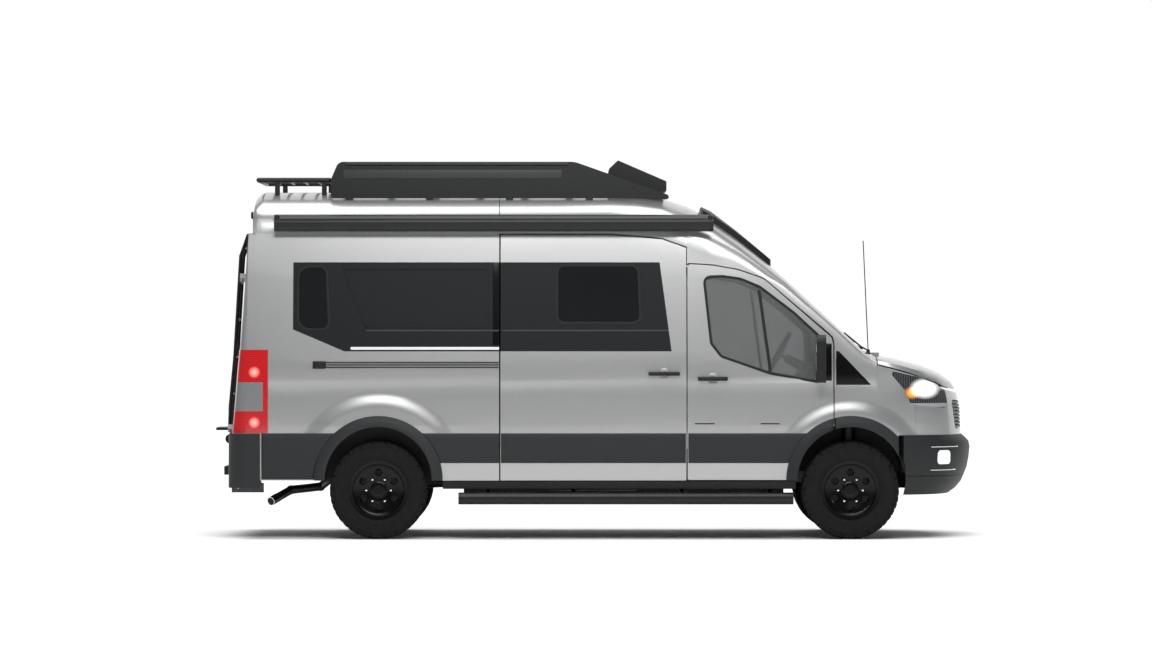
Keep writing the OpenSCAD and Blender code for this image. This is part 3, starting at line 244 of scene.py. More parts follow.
def side_patch(bm, rear, front, low, high, lift, hand, count=24):
    """Raised panel on the side with soft edges; rear and front give its ends at a height."""
    soft = min(0.008, (high - low) / 5)
    lifts = (-0.002, lift * 0.7, lift)
    heights = eased(low, high, soft, 6)
    rows = []
    for j, z in enumerate(heights):
        places = eased(rear(z), front(z), soft, count)
        row = []
        for i, x in enumerate(places):
            ring = min(i, j, len(places) - 1 - i, len(heights) - 1 - j)
            row.append(on_side(x, z, lifts[min(ring, 2)], hand))
        rows.append(row)
    strip(bm, rows)


def gasket(bm, outline, width, lift, hand):
    """Rubber ring along an outline on the side."""
    section = (
        (-0.5, -0.008), (-0.42, lift * 0.7), (-0.2, lift), (0.2, lift), (0.42, lift * 0.7), (0.5, -0.002)
    )
    count = len(outline)
    rows = []
    for i, (x, z) in enumerate(outline):
        along = Vector(outline[(i + 1) % count]) - Vector(outline[i - 1])
        out = Vector((along.y, -along.x)).normalized()
        row = []
        for share, height in section:
            p = Vector((x, z)) + out * (width * share)
            row.append(on_side(p.x, p.y, height, hand))
        rows.append(row)
    strip(bm, rows, closed=True)


def tube(bm, path, radius, sides=12):
    """Round bar along a path of points."""
    path = [Vector(p) for p in path]
    rows = []
    up = Vector((0, 0, 1))
    for i, p in enumerate(path):
        ahead = (path[min(i + 1, len(path) - 1)] - path[max(i - 1, 0)]).normalized()
        side = ahead.cross(up)
        side = side.normalized() if side.length > 1e-4 else Vector((0, 1, 0))
        over = side.cross(ahead).normalized()
        rows.append([
            p + radius * (math.cos(a) * side + math.sin(a) * over)
            for a in (2 * math.pi * k / sides for k in range(sides + 1))
        ])
    strip(bm, rows)
    for row in (rows[0], rows[-1]):
        bm.faces.new([bm.verts.new(p) for p in row[:-1]])


def soft_box(bm, low, high, radius, segments=3):
    """Box between two corners with round edges."""
    low, high = Vector(low), Vector(high)
    made = bmesh.ops.create_cube(bm, size=1.0)["verts"]
    for v in made:
        v.co = Vector((v.co[k] * (high[k] - low[k]) + (low[k] + high[k]) / 2 for k in range(3)))
    edges = list({e for v in made for e in v.link_edges})
    bmesh.ops.bevel(
        bm, geom=edges, offset=radius, offset_type="OFFSET", affect="EDGES", segments=segments, profile=0.5,
        material=-1
    )


def side_box(bm, hand, low, high, radius, segments=3):
    """Soft box on one side of the van; its corners are given for the left side."""
    near, far = sorted((hand * low[1], hand * high[1]))
    soft_box(bm, (low[0], near, low[2]), (high[0], far, high[2]), radius, segments)


def turned(bm, profile, centre, hand, steps=48):
    """Turns a profile of (radius, distance outwards) about the Y axis through a centre."""
    verts = [bm.verts.new((centre[0] + r, centre[1] + hand * y, centre[2])) for r, y in profile]
    edges = [bm.edges.new(pair) for pair in zip(verts, verts[1:])]
    bmesh.ops.spin(
        bm, geom=verts + edges, cent=centre, axis=(0, 1, 0), angle=2 * math.pi, steps=steps, use_merge=True,
        use_duplicate=False
    )


def block(bm, rings):
    """Joins rings of four points into a block that is open below."""
    loops = [[bm.verts.new(p) for p in ring] for ring in rings]
    for a, b in zip(loops, loops[1:]):
        for i in range(4):
            j = (i + 1) % 4
            bm.faces.new((a[i], a[j], b[j], b[i]))
    bm.faces.new(loops[-1])


def piece(name, bm, material, body, sharp=35):
    """New piece from a mesh, riding on a body."""
    bmesh.ops.remove_doubles(bm, verts=bm.verts, dist=1e-6)
    bmesh.ops.recalc_face_normals(bm, faces=bm.faces)
    for face in bm.faces:
        face.smooth = True
    for edge in bm.edges:
        edge.smooth = edge.calc_face_angle(0) < math.radians(sharp) if len(edge.link_faces) == 2 else False
    mesh = bpy.data.meshes.new(name)
    bm.to_mesh(mesh)
    bm.free()
    obj = bpy.data.objects.new(name, mesh)
    bpy.context.scene.collection.objects.link(obj)
    mesh.materials.append(material)
    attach(obj, body)
    return obj


# Materials

# Strength of every relief, and half the width of a painted edge
RELIEF = 0.6
EDGE = 0.0015
# A wave texture at scale 1 repeats at this distance
WAVE = math.pi / 10


def add(tree, kind, inputs=(), **settings):
    """Adds a shader node and gives its outputs. Inputs are in the node's order or by name, and each is
    a value or the output that feeds it."""
    made = tree.nodes.new("ShaderNode" + kind)
    for key, value in settings.items():
        setattr(made, key, value)
    for key, value in inputs.items() if isinstance(inputs, dict) else enumerate(inputs):
        if isinstance(value, bpy.types.NodeSocket):
            tree.links.new(value, made.inputs[key])
        else:
            made.inputs[key].default_value = value
    return made.outputs


def material(name, values):
    """New material with its shader's constants set; gives (material, tree, shader, Object coordinates)."""
    made = bpy.data.materials.new(name)
    made.use_nodes = True
    tree = made.node_tree
    shader = tree.nodes["Principled BSDF"]
    for key, value in values.items():
        shader.inputs[key].default_value = value
    return made, tree, shader, add(tree, "TexCoord")["Object"]


def reach(tree, place, x, z, size_x, size_z):
    """Distance from a point of the side, in shares of two sizes."""
    away = add(tree, "VectorMath", (place, (x, 0, z)), operation="SUBTRACT")["Vector"]
    share = add(tree, "VectorMath", (away, (1 / size_x, 0, 1 / size_z)), operation="MULTIPLY")["Vector"]
    return add(tree, "VectorMath", (share,), operation="LENGTH")["Value"]


def inside(tree, value, low, high, soft=EDGE):
    """1 where a value lies between two limits, with a soft edge."""
    above = add(tree, "MapRange", (value, low - soft, low + soft, 0, 1))[0]
    below = add(tree, "MapRange", (value, high - soft, high + soft, 1, 0))[0]
    return add(tree, "Math", (above, below), operation="MULTIPLY")[0]


def silver_paint(s):
    """Metallic silver: fine flakes under clear lacquer, a dark satin band round the living windows, charcoal
    flares on the doors and pressed brows over the wheels. The flakes are drawn coarse enough to show."""
    made, tree, shader, place = material("silver_paint", {"Coat Roughness": 0.05})
    x, y, z = add(tree, "SeparateXYZ", (place,))
    across = add(tree, "Math", (y,), operation="ABSOLUTE")[0]
    axle_x = add(tree, "Math", (x, FA), operation="SUBTRACT")[0]
    corner = add(tree, "Math", (axle_x, 0.425, z), operation="MULTIPLY_ADD")[0]
    slant = add(tree, "Math", (z, 0.133, axle_x), operation="MULTIPLY_ADD")[0]
    band = inside(tree, z, s.band_low, s.band_high)
    for edge in (
        (corner, -0.2186, -0.2146, 0, 1),
        (axle_x, s.band_rear - EDGE, s.band_rear + EDGE, 0, 1),
        (slant, -1.2276, -1.2236, 1, 0),
        (across, 0.84, 0.86, 0, 1),
    ):
        band = add(tree, "Math", (band, add(tree, "MapRange", edge)[0]), operation="MULTIPLY")[0]
    arch = reach(tree, place, FA, ARCH_Z, FLARE_R, FLARE_R)
    flare = add(tree, "MapRange", (arch, 0.999, 1.003, 1, 0))[0]
    outside = add(tree, "MapRange", (across, 0.94, 0.96, 0, 1))[0]
    flare = add(tree, "Math", (flare, outside), operation="MULTIPLY")[0]
    flakes = add(tree, "TexNoise", {"Vector": place, "Scale": 1 / 0.0012, "Detail": 2.0})["Fac"]
    colour = s.paint_dark
    for share, coat in ((flakes, s.paint_bright), (band, s.band_paint), (flare, s.flare_paint)):
        colour = add(tree, "Mix", {"Factor": share, "A": colour, "B": coat}, data_type="RGBA")["Result"]
    tree.links.new(colour, shader.inputs["Base Color"])
    dark = add(tree, "Math", (band, flare), operation="MAXIMUM")[0]
    for socket, on_silver, on_dark in (
        ("Metallic", 0.6, 0.0), ("Roughness", 0.30, 0.45), ("Coat Weight", 0.6, 0.0),
        ("Specular IOR Level", 0.5, 0.12),
    ):
        level = add(tree, "MapRange", (dark, 0, 1, on_silver, on_dark))[0]
        tree.links.new(level, shader.inputs[socket])
    brows = []
    for axle, low, high in ((RA, 0.58, 0.71), (FA, 0.53, 0.65)):
        away = reach(tree, place, axle, ARCH_Z, 1, 1)
        brows.append(add(tree, "MapRange", (away, low, high, 1, 0), interpolation_type="SMOOTHSTEP")[0])
    brow = add(tree, "Math", brows, operation="MAXIMUM")[0]
    bump = add(tree, "Bump", {"Height": brow, "Strength": RELIEF, "Distance": 0.035})["Normal"]
    tree.links.new(bump, shader.inputs["Normal"])
    return made


def mottled(name, values, size, low, high, detail=2.0, relief=0.0):
    """Material that runs between two hex colours in patches of a size, with relief as deep as given."""
    made, tree, shader, place = material(name, values)
    patches = add(tree, "TexNoise", {"Vector": place, "Scale": 1 / size, "Detail": detail})["Fac"]
    tones = {"Factor": patches, "A": linear(low), "B": linear(high)}
    colour = add(tree, "Mix", tones, data_type="RGBA")["Result"]
    tree.links.new(colour, shader.inputs["Base Color"])
    if relief:
        bump = add(tree, "Bump", {"Height": patches, "Strength": RELIEF, "Distance": relief})["Normal"]
        tree.links.new(bump, shader.inputs["Normal"])
    return made


def grained_plastic(name, low, high, size, roughness):
    """Moulded plastic: a fine leather-like grain that scatters the light."""
    values = {"Roughness": roughness, "Specular IOR Level": 0.25}
    return mottled(name, values, size, low, high, 3.0, 0.0004)


def powder_coat():
    """Black powder coat: satin with a slight orange-peel texture."""
    values = {"Roughness": 0.38, "Specular IOR Level": 0.3}
    return mottled("powder_coat", values, 0.004, "#0d0e0f", "#141516", relief=0.0003)


def gloss_black():
    """Black lacquer on the wheels: deep, with faint, slightly blurred highlights."""
    return mottled("gloss_black", {"Roughness": 0.22, "Specular IOR Level": 0.18}, 0.03, "#040404", "#080808")


def rubber():
    """Tyre rubber: dull dark grey, paler where it is dusty."""
    made, tree, shader, place = material("tyre_rubber", {"Roughness": 0.82, "Specular IOR Level": 0.15})
    dust = add(tree, "TexNoise", {"Vector": place, "Scale": 1 / 0.05, "Detail": 6.0})["Fac"]
    tones = {"Factor": dust, "A": linear("#101010"), "B": linear("#1c1c1b")}
    colour = add(tree, "Mix", tones, data_type="RGBA")["Result"]
    tree.links.new(colour, shader.inputs["Base Color"])
    grain = add(tree, "TexNoise", {"Vector": place, "Scale": 1 / 0.002, "Detail": 2.0})["Fac"]
    bump = add(tree, "Bump", {"Height": grain, "Strength": RELIEF, "Distance": 0.0004})["Normal"]
    tree.links.new(bump, shader.inputs["Normal"])
    return made


def dark_glass():
    """Privacy glass: nearly black, mirror-smooth."""
    return mottled("privacy_glass", {"Roughness": 0.03, "Specular IOR Level": 0.7}, 0.8, "#0c0d0e", "#131415")


def cab_glass():
    """Cab glass: grey tint that lets the seats show."""
    values = {"Roughness": 0.02, "IOR": 1.1, "Transmission Weight": 0.82, "Specular IOR Level": 0.8}
    return mottled("cab_glass", values, 0.6, "#979999", "#a5a7a7")


def head_lamp():
    """Lit lamps: dark ribbed housings, a white beam lens, an amber turn lens and white fog lenses."""
    made, tree, shader, place = material("head_lamp", {"Roughness": 0.08, "Coat Weight": 1.0})
    z = add(tree, "SeparateXYZ", (place,))["Z"]
    beam = reach(tree, place, FA + 0.600, 1.200, 0.115, 0.075)
    white = add(tree, "MapRange", (beam, 0.45, 1.2, 1, 0))[0]
    turn = reach(tree, place, FA + 0.492, 1.165, 0.060, 0.045)
    amber = add(tree, "MapRange", (turn, 0.4, 1.2, 1, 0))[0]
    fog = add(tree, "MapRange", (z, 0.74, 0.76, 1, 0))[0]
    line = inside(tree, z, 1.050, 1.082)
    wave = {"Vector": place, "Scale": WAVE / 0.019635, "Distortion": 0.0}
    ribs = add(tree, "TexWave", wave, bands_direction="X")["Fac"]
    colour = linear("#191a1b")
    for share, coat in (
        (ribs, "#47484a"), (line, "#9a9c9e"), (amber, "#ff9428"), (white, "#ffffff"), (fog, "#eef1f4")
    ):
        layers = {"Factor": share, "A": colour, "B": linear(coat)}
        colour = add(tree, "Mix", layers, data_type="RGBA")["Result"]
    tree.links.new(colour, shader.inputs["Base Color"])
    tree.links.new(colour, shader.inputs["Emission Color"])
    glow = 0.0
    for lens, strength in ((white, 1.6), (amber, 0.8), (fog, 0.35)):
        glow = add(tree, "Math", (lens, strength, glow), operation="MULTIPLY_ADD")[0]
    tree.links.new(glow, shader.inputs["Emission Strength"])
    return made


def tail_lamp():
    """Lit tail lamp: clear red with fine prism ribs, two bright bulbs and a grey lens in the middle."""
    made, tree, shader, place = material("tail_lamp", {"Roughness": 0.1, "Coat Weight": 1.0})
    x, _, z = add(tree, "SeparateXYZ", (place,))
    rear = add(tree, "MapRange", (x, FA - 4.679, FA - 4.675, 1, 0))[0]
    grey = add(tree, "Math", (inside(tree, z, 1.020, 1.250, 0.003), rear), operation="MULTIPLY")[0]
    wave = {"Vector": place, "Scale": WAVE / 0.01428, "Distortion": 0.0}
    ribs = add(tree, "TexWave", wave, bands_direction="Z")["Fac"]
    bulbs = []
    for height in (1.330, 0.930):
        away = reach(tree, place, FA - 4.745, height, 0.035, 0.035)
        bulbs.append(add(tree, "MapRange", (away, 0.3, 1.4, 1, 0))[0])
    bulb = add(tree, "Math", bulbs, operation="MAXIMUM")[0]
    colour = linear("#930b0e")
    for share, coat in ((ribs, "#c0161a"), (grey, "#6d6e70"), (bulb, "#ff8a80")):
        layers = {"Factor": share, "A": colour, "B": linear(coat)}
        colour = add(tree, "Mix", layers, data_type="RGBA")["Result"]
    tree.links.new(colour, shader.inputs["Base Color"])
    tree.links.new(colour, shader.inputs["Emission Color"])
    glow = add(tree, "Math", (bulb, 0.12), operation="ADD")[0]
    tree.links.new(glow, shader.inputs["Emission Strength"])
    return made


def metal(name, low, high, roughness, size):
    """Bare or plated metal with slight streaks."""
    return mottled(name, {"Metallic": 1.0, "Roughness": roughness}, size, low, high, 4.0)


def woven():
    """Seat cloth: a small dark weave with a soft sheen."""
    made, tree, shader, place = material("seat_weave", {"Roughness": 0.9, "Sheen Weight": 0.4})
    weave = add(tree, "TexVoronoi", {"Vector": place, "Scale": 1 / 0.004})["Distance"]
    tones = {"Factor": weave, "A": linear("#2c2d2f"), "B": linear("#45474a")}
    colour = add(tree, "Mix", tones, data_type="RGBA")["Result"]
    tree.links.new(colour, shader.inputs["Base Color"])
    bump = add(tree, "Bump", {"Height": weave, "Strength": RELIEF, "Distance": 0.0008})["Normal"]
    tree.links.new(bump, shader.inputs["Normal"])
    return made


def studio_floor():
    """Pale matt floor."""
    return mottled("studio_floor", {"Roughness": 0.9}, 0.5, "#f4f4f4", "#f8f8f8")


MAT = {}
# Material of each slot of the record, and of the nodes that differ from their slot
SLOT_MATERIAL = {
    "body_paint": "paint", "cladding": "cladding", "black_metal": "coat", "trim": "trim", "glass": "privacy",
    "lamp_clear": "head", "lamp_red": "tail", "seat_cloth": "weave", "chassis_steel": "steel",
    "engine_alloy": "alloy", "exhaust_steel": "pipe", "rim_paint": "wheel", "tyre": "rubber",
}
NODE_MATERIAL = {"windscreen": "glass", "glass_right": "glass", "glass_left": "glass", "grille": "alloy"}
BEVELLED_SLOTS = ("body_paint", "cladding", "black_metal", "trim")


class VAN_OT_materials(bpy.types.Operator):
    """Make the materials and give each CAD node its own."""

    bl_idname = "van.materials"
    bl_label = "Materials"

    def execute(self, context):
        s = context.scene.van
        MAT.update(
            paint=silver_paint(s),
            cladding=grained_plastic("charcoal_cladding", "#1f2021", "#272829", 0.0016, 0.55),
            trim=grained_plastic("black_trim", "#0d0e0f", "#151617", 0.0014, 0.48),
            # Window rubber; it also draws the dark line on the band's crease and the dark disc in the exhaust's
            # end, both painted shade
            gasket=grained_plastic("window_rubber", "#0e0f0f", "#161717", 0.002, 0.6),
            coat=powder_coat(),
            wheel=gloss_black(),
            rubber=rubber(),
            privacy=dark_glass(),
            glass=cab_glass(),
            head=head_lamp(),
            tail=tail_lamp(),
            chrome=metal("chrome_plate", "#c9cbcd", "#e2e3e4", 0.12, 0.02),
            steel=metal("chassis_steel", "#4a4c4e", "#5d5f61", 0.45, 0.05),
            pipe=metal("exhaust_pipe", "#77736e", "#94908a", 0.35, 0.03),
            alloy=metal("cast_alloy", "#55585a", "#6a6d6f", 0.55, 0.01),
            amber=grained_plastic("amber_lens", "#b4560f", "#d46c18", 0.004, 0.15),
            # Grey of the roof rack's panels; on the window band's step the same grey is a painted highlight
            pale=grained_plastic("grey_panel", "#2b2c2e", "#333436", 0.003, 0.45),
            # Pale strip on the window band's lower edge: a painted highlight
            ledge=grained_plastic("pale_moulding", "#c9cbcc", "#d6d7d8", 0.004, 0.4),
            weave=woven(),
            floor=studio_floor(),
        )
        for part in frame["record"]["subparts"]:
            node = frame["nodes"][part["node"]]
            slot = part["material_slot"]
            node.data.materials.clear()
            node.data.materials.append(MAT[NODE_MATERIAL.get(part["node"], SLOT_MATERIAL[slot])])
            node.data.polygons.foreach_set("use_smooth", [True] * len(node.data.polygons))
            weld = node.modifiers.new("weld", "WELD")
            weld.merge_threshold = 1e-5
            if slot in BEVELLED_SLOTS:
                bevel = node.modifiers.new("edges", "BEVEL")
                bevel.width = 0.003
                bevel.segments = 2
                bevel.limit_method = "ANGLE"
                bevel.angle_limit = math.radians(50)
            split = node.modifiers.new("split", "EDGE_SPLIT")
            split.split_angle = math.radians(38)
            node.modifiers.new("normals", "WEIGHTED_NORMAL").keep_sharp = True
        return {"FINISHED"}


def flare_edge(axle, way):
    """End of a panel that meets an arch flare, as a function of height; way is 1 in front of the axle."""
    return lambda z: axle + way * math.sqrt(max(FLARE_R ** 2 - (z - ARCH_Z) ** 2, 0.01))


def at(x):
    """An upright end of a panel."""
    return lambda z: x


# Clearance of the cladding from a door's edge, the rear bumper's front end, and the bottom of the tail panels
CLAD_GAP = 0.004
BUMPER_END = FA - 4.700
TAIL_LOW = 0.475


class VAN_OT_cladding(bpy.types.Operator):
    """Charcoal cladding along the sides."""

    bl_idname = "van.cladding"
    bl_label = "Side cladding"

    def execute(self, context):
        s = context.scene.van
        door_rear = at(DOOR_REAR + CLAD_GAP)
        slider_front = at(SLIDER_FRONT - CLAD_GAP)
        tail_rear = at(BUMPER_END + SEAM)
        runs = [
            ("clad_quarter_right", RIGHT, flare_edge(RA, 1), at(SLIDER_REAR - SEAM), "van"),
            ("clad_slider", RIGHT, at(SLIDER_REAR + CLAD_GAP), slider_front, "van"),
            ("clad_door_right", RIGHT, door_rear, flare_edge(FA, -1), "cab_door_right"),
            ("clad_door_left", LEFT, door_rear, flare_edge(FA, -1), "cab_door_left"),
            ("clad_side_left", LEFT, flare_edge(RA, 1), slider_front, "van"),
            ("clad_tail_right", RIGHT, tail_rear, flare_edge(RA, -1), "van"),
            ("clad_tail_left", LEFT, tail_rear, flare_edge(RA, -1), "van"),
        ]
        for name, hand, rear, front, body in runs:
            low = TAIL_LOW if "tail" in name else s.clad_low
            bm = bmesh.new()
            side_patch(bm, rear, front, low, s.clad_high, s.clad_out, hand)
            piece(name, bm, MAT["cladding"], body)
        return {"FINISHED"}


def divider_edge(half):
    """Edge of the cab window's leaning divider, half its width from its middle, as a function of height."""
    return lambda z: FA - 0.717 + (1.905 - z) * 0.136 + half


def cowl_edge(z):
    """Front edge of the black corner under the windscreen at a height."""
    return FA + 0.166 - (z - 1.228) * 0.96


class VAN_OT_windows(bpy.types.Operator):
    """Gaskets, the divider of the cab window and the black corners by the mirror and under the windscreen."""

    bl_idname = "van.windows"
    bl_label = "Window trim"

    def execute(self, context):
        s = context.scene.van
        for hand, tag in SIDES:
            door = f"cab_door_{tag}"
            for name, path, body in (
                ("slider_window", SLIDER_GLASS, "van"), ("rear_window", REAR_SIDE_GLASS, "van"),
                ("cab_window", CAB_GLASS, door),
            ):
                bm = bmesh.new()
                gasket(bm, rounded(path), s.gasket_w, 0.003, hand)
                piece(f"{name}_gasket_{tag}", bm, MAT["gasket"], body)
            bm = bmesh.new()
            side_patch(bm, divider_edge(-0.012), divider_edge(0.012), 1.335, 1.985, 0.002, hand, 4)
            piece(f"window_divider_{tag}", bm, MAT["gasket"], door)
            bm = bmesh.new()
            side_patch(bm, at(FA - 0.222), at(FA - 0.150), 1.262, 1.560, 0.003, hand, 6)
            piece(f"mirror_corner_{tag}", bm, MAT["wheel"], door)
            bm = bmesh.new()
            side_patch(bm, at(FA - 0.118), cowl_edge, 1.228, 1.500, 0.002, hand, 8)
            piece(f"cowl_corner_{tag}", bm, MAT["wheel"], "van")
        return {"FINISHED"}


# Door handles, from the front axle: (name, rear, front, bottom, top, side, body)
HANDLES = (
    ("slider_handle", -1.610, -1.360, 1.291, 1.345, RIGHT, "van"),
    ("door_handle_right", -1.218, -0.979, 1.250, 1.306, RIGHT, "cab_door_right"),
    ("door_handle_left", -1.218, -0.979, 1.250, 1.306, LEFT, "cab_door_left"),
)
# Section of the round cup behind a handle: (radius, distance outwards)
CUP_PROFILE = ((0.046, 0.001), (0.043, 0.004), (0.036, 0.003), (0.0005, -0.0005))


class VAN_OT_handles(bpy.types.Operator):
    """Door handles on two feet, each over a round cup."""

    bl_idname = "van.handles"
    bl_label = "Door handles"

    def execute(self, context):
        for name, x0, x1, z0, z1, hand, body in HANDLES:
            z = (z0 + z1) / 2
            y = side_y(z)
            bm = bmesh.new()
            side_box(bm, hand, (FA + x0, y + 0.016, z0 + 0.012), (FA + x1, y + 0.040, z1 - 0.012), 0.009)
            for x in (FA + x0 + 0.006, FA + x1 - 0.046):
                side_box(bm, hand, (x, y - 0.004, z0 + 0.014), (x + 0.040, y + 0.024, z1 - 0.014), 0.006)
            piece(name, bm, MAT["trim"], body)
            bm = bmesh.new()
            turned(bm, CUP_PROFILE, Vector((FA + (x0 + x1) / 2, hand * y, z)), hand)
            piece(f"{name}_cup", bm, MAT["paint"], body)
        return {"FINISHED"}


class VAN_OT_slider_rail(bpy.types.Operator):
    """Rail of the sliding door, as three ribs, and the cover at its rear end."""

    bl_idname = "van.slider_rail"
    bl_label = "Sliding door rail"

    def execute(self, context):
        bm = bmesh.new()
        for z in (1.369, 1.388, 1.407):
            ends = [on_side(FA - 4.200, z, 0, RIGHT), on_side(SLIDER_REAR - 0.012, z, 0, RIGHT)]
            tube(bm, ends, 0.0035, 8)
        piece("slider_rail", bm, MAT["trim"], "van")
        y = side_y(1.39)
        bm = bmesh.new()
        side_box(bm, RIGHT, (FA - 4.281, y - 0.020, 1.358), (FA - 4.178, y + 0.012, 1.418), 0.008)
        piece("slider_rail_end", bm, MAT["trim"], "van")
        return {"FINISHED"}


class VAN_OT_stripes(bpy.types.Operator):
    """Two short stripes on each front door."""

    bl_idname = "van.stripes"
    bl_label = "Door stripes"

    def execute(self, context):
        for hand, tag in SIDES:
            bm = bmesh.new()
            for x0, x1 in ((-1.241, -1.083), (-0.717, -0.567)):
                side_patch(bm, at(FA + x0), at(FA + x1), 0.916, 0.926, 0.0015, hand, 4)
            piece(f"door_stripes_{tag}", bm, MAT["trim"], f"cab_door_{tag}")
        return {"FINISHED"}


# Sidewall and shoulder of a tyre, from bead to tread: (radius, share of the half width)
TYRE_PROFILE = (
    (0.2165, 0.78), (0.226, 0.80), (0.238, 0.86), (0.252, 0.93), (0.266, 0.975), (0.270, 0.985),
    (0.272, 0.975), (0.290, 0.995), (0.312, 1.0), (0.330, 0.99), (0.333, 1.0), (0.348, 0.985),
    (0.360, 0.95), (0.370, 0.90), (0.377, 0.82), (0.379, 0.70), (0.379, 0.35),
)
TYRE_HALF = 0.1225
# Radius over the tread, and how much lower the outer blocks end
TREAD_TOP = AXLE_Z - 0.0005
SHOULDER_DROP = 0.010
# Blocks of one pitch of the tread: (middle across, width across, share of the pitch, shift along it)
TREAD_BLOCKS = (
    (-0.88, 0.24, 0.62, 0.0), (-0.44, 0.30, 0.66, 0.3), (0.0, 0.26, 0.60, 0.8), (0.44, 0.30, 0.66, 0.5),
    (0.88, 0.24, 0.62, 0.2),
)
# Bar on the sidewall: lowest and highest radius, and corners: (pitches, radius, share of the half width)
LUG_LOW = 0.338
LUG_HIGH = 0.3815
LUG_CORNERS = (
    (0.0, LUG_LOW, 0.999), (1.15, LUG_LOW + 0.012, 0.999), (1.30, LUG_HIGH, 0.93), (0.1, LUG_HIGH, 0.93),
)
# Wheel nuts and hub cap: (radius, distance outwards)
NUT_RING = 0.098
NUT_PROFILE = ((0.012, 0.064), (0.012, 0.084), (0.009, 0.090), (0.0005, 0.091))
CAP_PROFILE = ((0.0565, 0.0925), (0.054, 0.0955), (0.040, 0.097), (0.038, 0.0955), (0.0005, 0.0955))


class VAN_OT_wheels(bpy.types.Operator):
    """All-terrain tyres with tread blocks, wheel nuts and hub caps."""

    bl_idname = "van.wheels"
    bl_label = "Tyres and wheel nuts"

    def execute(self, context):
        s = context.scene.van
        half = [(r, share * TYRE_HALF) for r, share in TYRE_PROFILE]
        whole = half + [(r, -y) for r, y in reversed(half)]
        for axle, row in ((FA, "front"), (RA, "rear")):
            for hand, tag in SIDES:
                body = f"wheel_{row}_{tag}"
                centre = Vector((axle, hand * WHEEL_Y, AXLE_Z))
                bm = bmesh.new()
                turned(bm, whole, centre, hand, 96)
                self.tread(bm, centre, s)
                tyre = piece(f"tyre_{row}_{tag}_tread", bm, MAT["rubber"], body, 40)
                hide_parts(f"tyre_{row}_{tag}")
                bm = bmesh.new()
                for k in range(6):
                    a = math.radians(60 * k)
                    nut = centre + Vector((NUT_RING * math.cos(a), 0, NUT_RING * math.sin(a)))
                    turned(bm, NUT_PROFILE, nut, hand, 6)
                piece(f"wheel_nuts_{row}_{tag}", bm, MAT["chrome"], body, 20)
                bm = bmesh.new()
                turned(bm, CAP_PROFILE, centre, hand)
                piece(f"hub_cap_{row}_{tag}", bm, MAT["wheel"], body)
        return {"FINISHED"}

    def tread(self, bm, centre, s):
        """Blocks round the tyre, on its tread band, and bars on its sidewalls."""
        pitch = 2 * math.pi / s.tread_pitches
        levels = ((TREAD_TOP - s.tread_depth - 0.012, 0.0), (TREAD_TOP - 0.002, 0.0), (TREAD_TOP, 0.08))
        for k in range(s.tread_pitches):
            slope = 0.12 * pitch * (1 if k % 2 else -1)
            for middle, width, share, shift in TREAD_BLOCKS:
                a0 = (k + shift) * pitch
                a1 = a0 + share * pitch
                drop = SHOULDER_DROP if abs(middle) > 0.7 else 0.0
                low_y = (middle - width / 2) * TYRE_HALF
                high_y = (middle + width / 2) * TYRE_HALF
                corners = ((a0, low_y), (a1, low_y), (a1 + slope, high_y), (a0 + slope, high_y))
                rings = []
                for radius, inset in levels:
                    ring = []
                    for a, y in corners:
                        a += ((a0 + a1 + slope) / 2 - a) * inset
                        y += ((low_y + high_y) / 2 - y) * inset
                        r = radius - (drop * abs(y) / TYRE_HALF if abs(y) > 0.09 else 0.0)
                        ring.append(centre + Vector((r * math.cos(a), y, r * math.sin(a))))
                    rings.append(ring)
                block(bm, rings)
        for k in range(s.tread_pitches // 2):
            for hand in (RIGHT, LEFT):
                start = (2 * k + (0.5 if hand == LEFT else 0.0)) * pitch
                self.shoulder_lug(bm, centre, hand, start, pitch)

    def shoulder_lug(self, bm, centre, hand, start, pitch):
        """Raised bar on the sidewall, below the tread."""
        rings = []
        for lift, inset in ((-0.10, 0.0), (-0.004, 0.0), (0.0, 0.10)):
            ring = []
            for a, r, share in LUG_CORNERS:
                angle = start + (a + (0.65 - a) * inset) * pitch
                radius = r + ((LUG_LOW + LUG_HIGH) / 2 - r) * inset
                y = hand * (share + lift) * TYRE_HALF
                ring.append(centre + Vector((radius * math.cos(angle), y, radius * math.sin(angle))))
            rings.append(ring)
        block(bm, rings)


class VAN_OT_awning(bpy.types.Operator):
    """End caps and lead bar of the closed awning."""

    bl_idname = "van.awning"
    bl_label = "Awning"

    def execute(self, context):
        low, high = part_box("awning")
        cap = 0.05
        bm = bmesh.new()
        for x in (low.x, high.x - cap):
            soft_box(bm, (x, low.y + 0.001, low.z + 0.001), (x + cap, high.y - 0.004, high.z - 0.001), 0.03)
        piece("awning_caps", bm, MAT["trim"], "van")
        bm = bmesh.new()
        y = low.y + 0.004
        for z in (low.z + 0.035, low.z + 0.095):
            tube(bm, ((low.x + cap, y, z), (high.x - cap, y, z)), 0.005, 8)
        piece("awning_lead_bar", bm, MAT["coat"], "van")
        return {"FINISHED"}


class VAN_OT_roof_rack(bpy.types.Operator):
    """Side panels and round top rails of the roof rack."""

    bl_idname = "van.roof_rack"
    bl_label = "Roof rack"

    def execute(self, context):
        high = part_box("roof_rack")[1]
        for hand, tag in SIDES:
            bm = bmesh.new()
            low_corner = (FA - 4.05, high.y - 0.002, 2.880)
            side_box(bm, hand, low_corner, (FA - 2.30, high.y + 0.004, 2.950), 0.002)
            piece(f"rack_panel_{tag}", bm, MAT["pale"], "van")
            bm = bmesh.new()
            y = hand * (high.y - 0.010)
            z = high.z - 0.019
            tube(bm, ((FA - 4.03, y, z), (FA - 2.25, y, z)), 0.018)
            piece(f"rack_rail_{tag}", bm, MAT["coat"], "van")
        return {"FINISHED"}


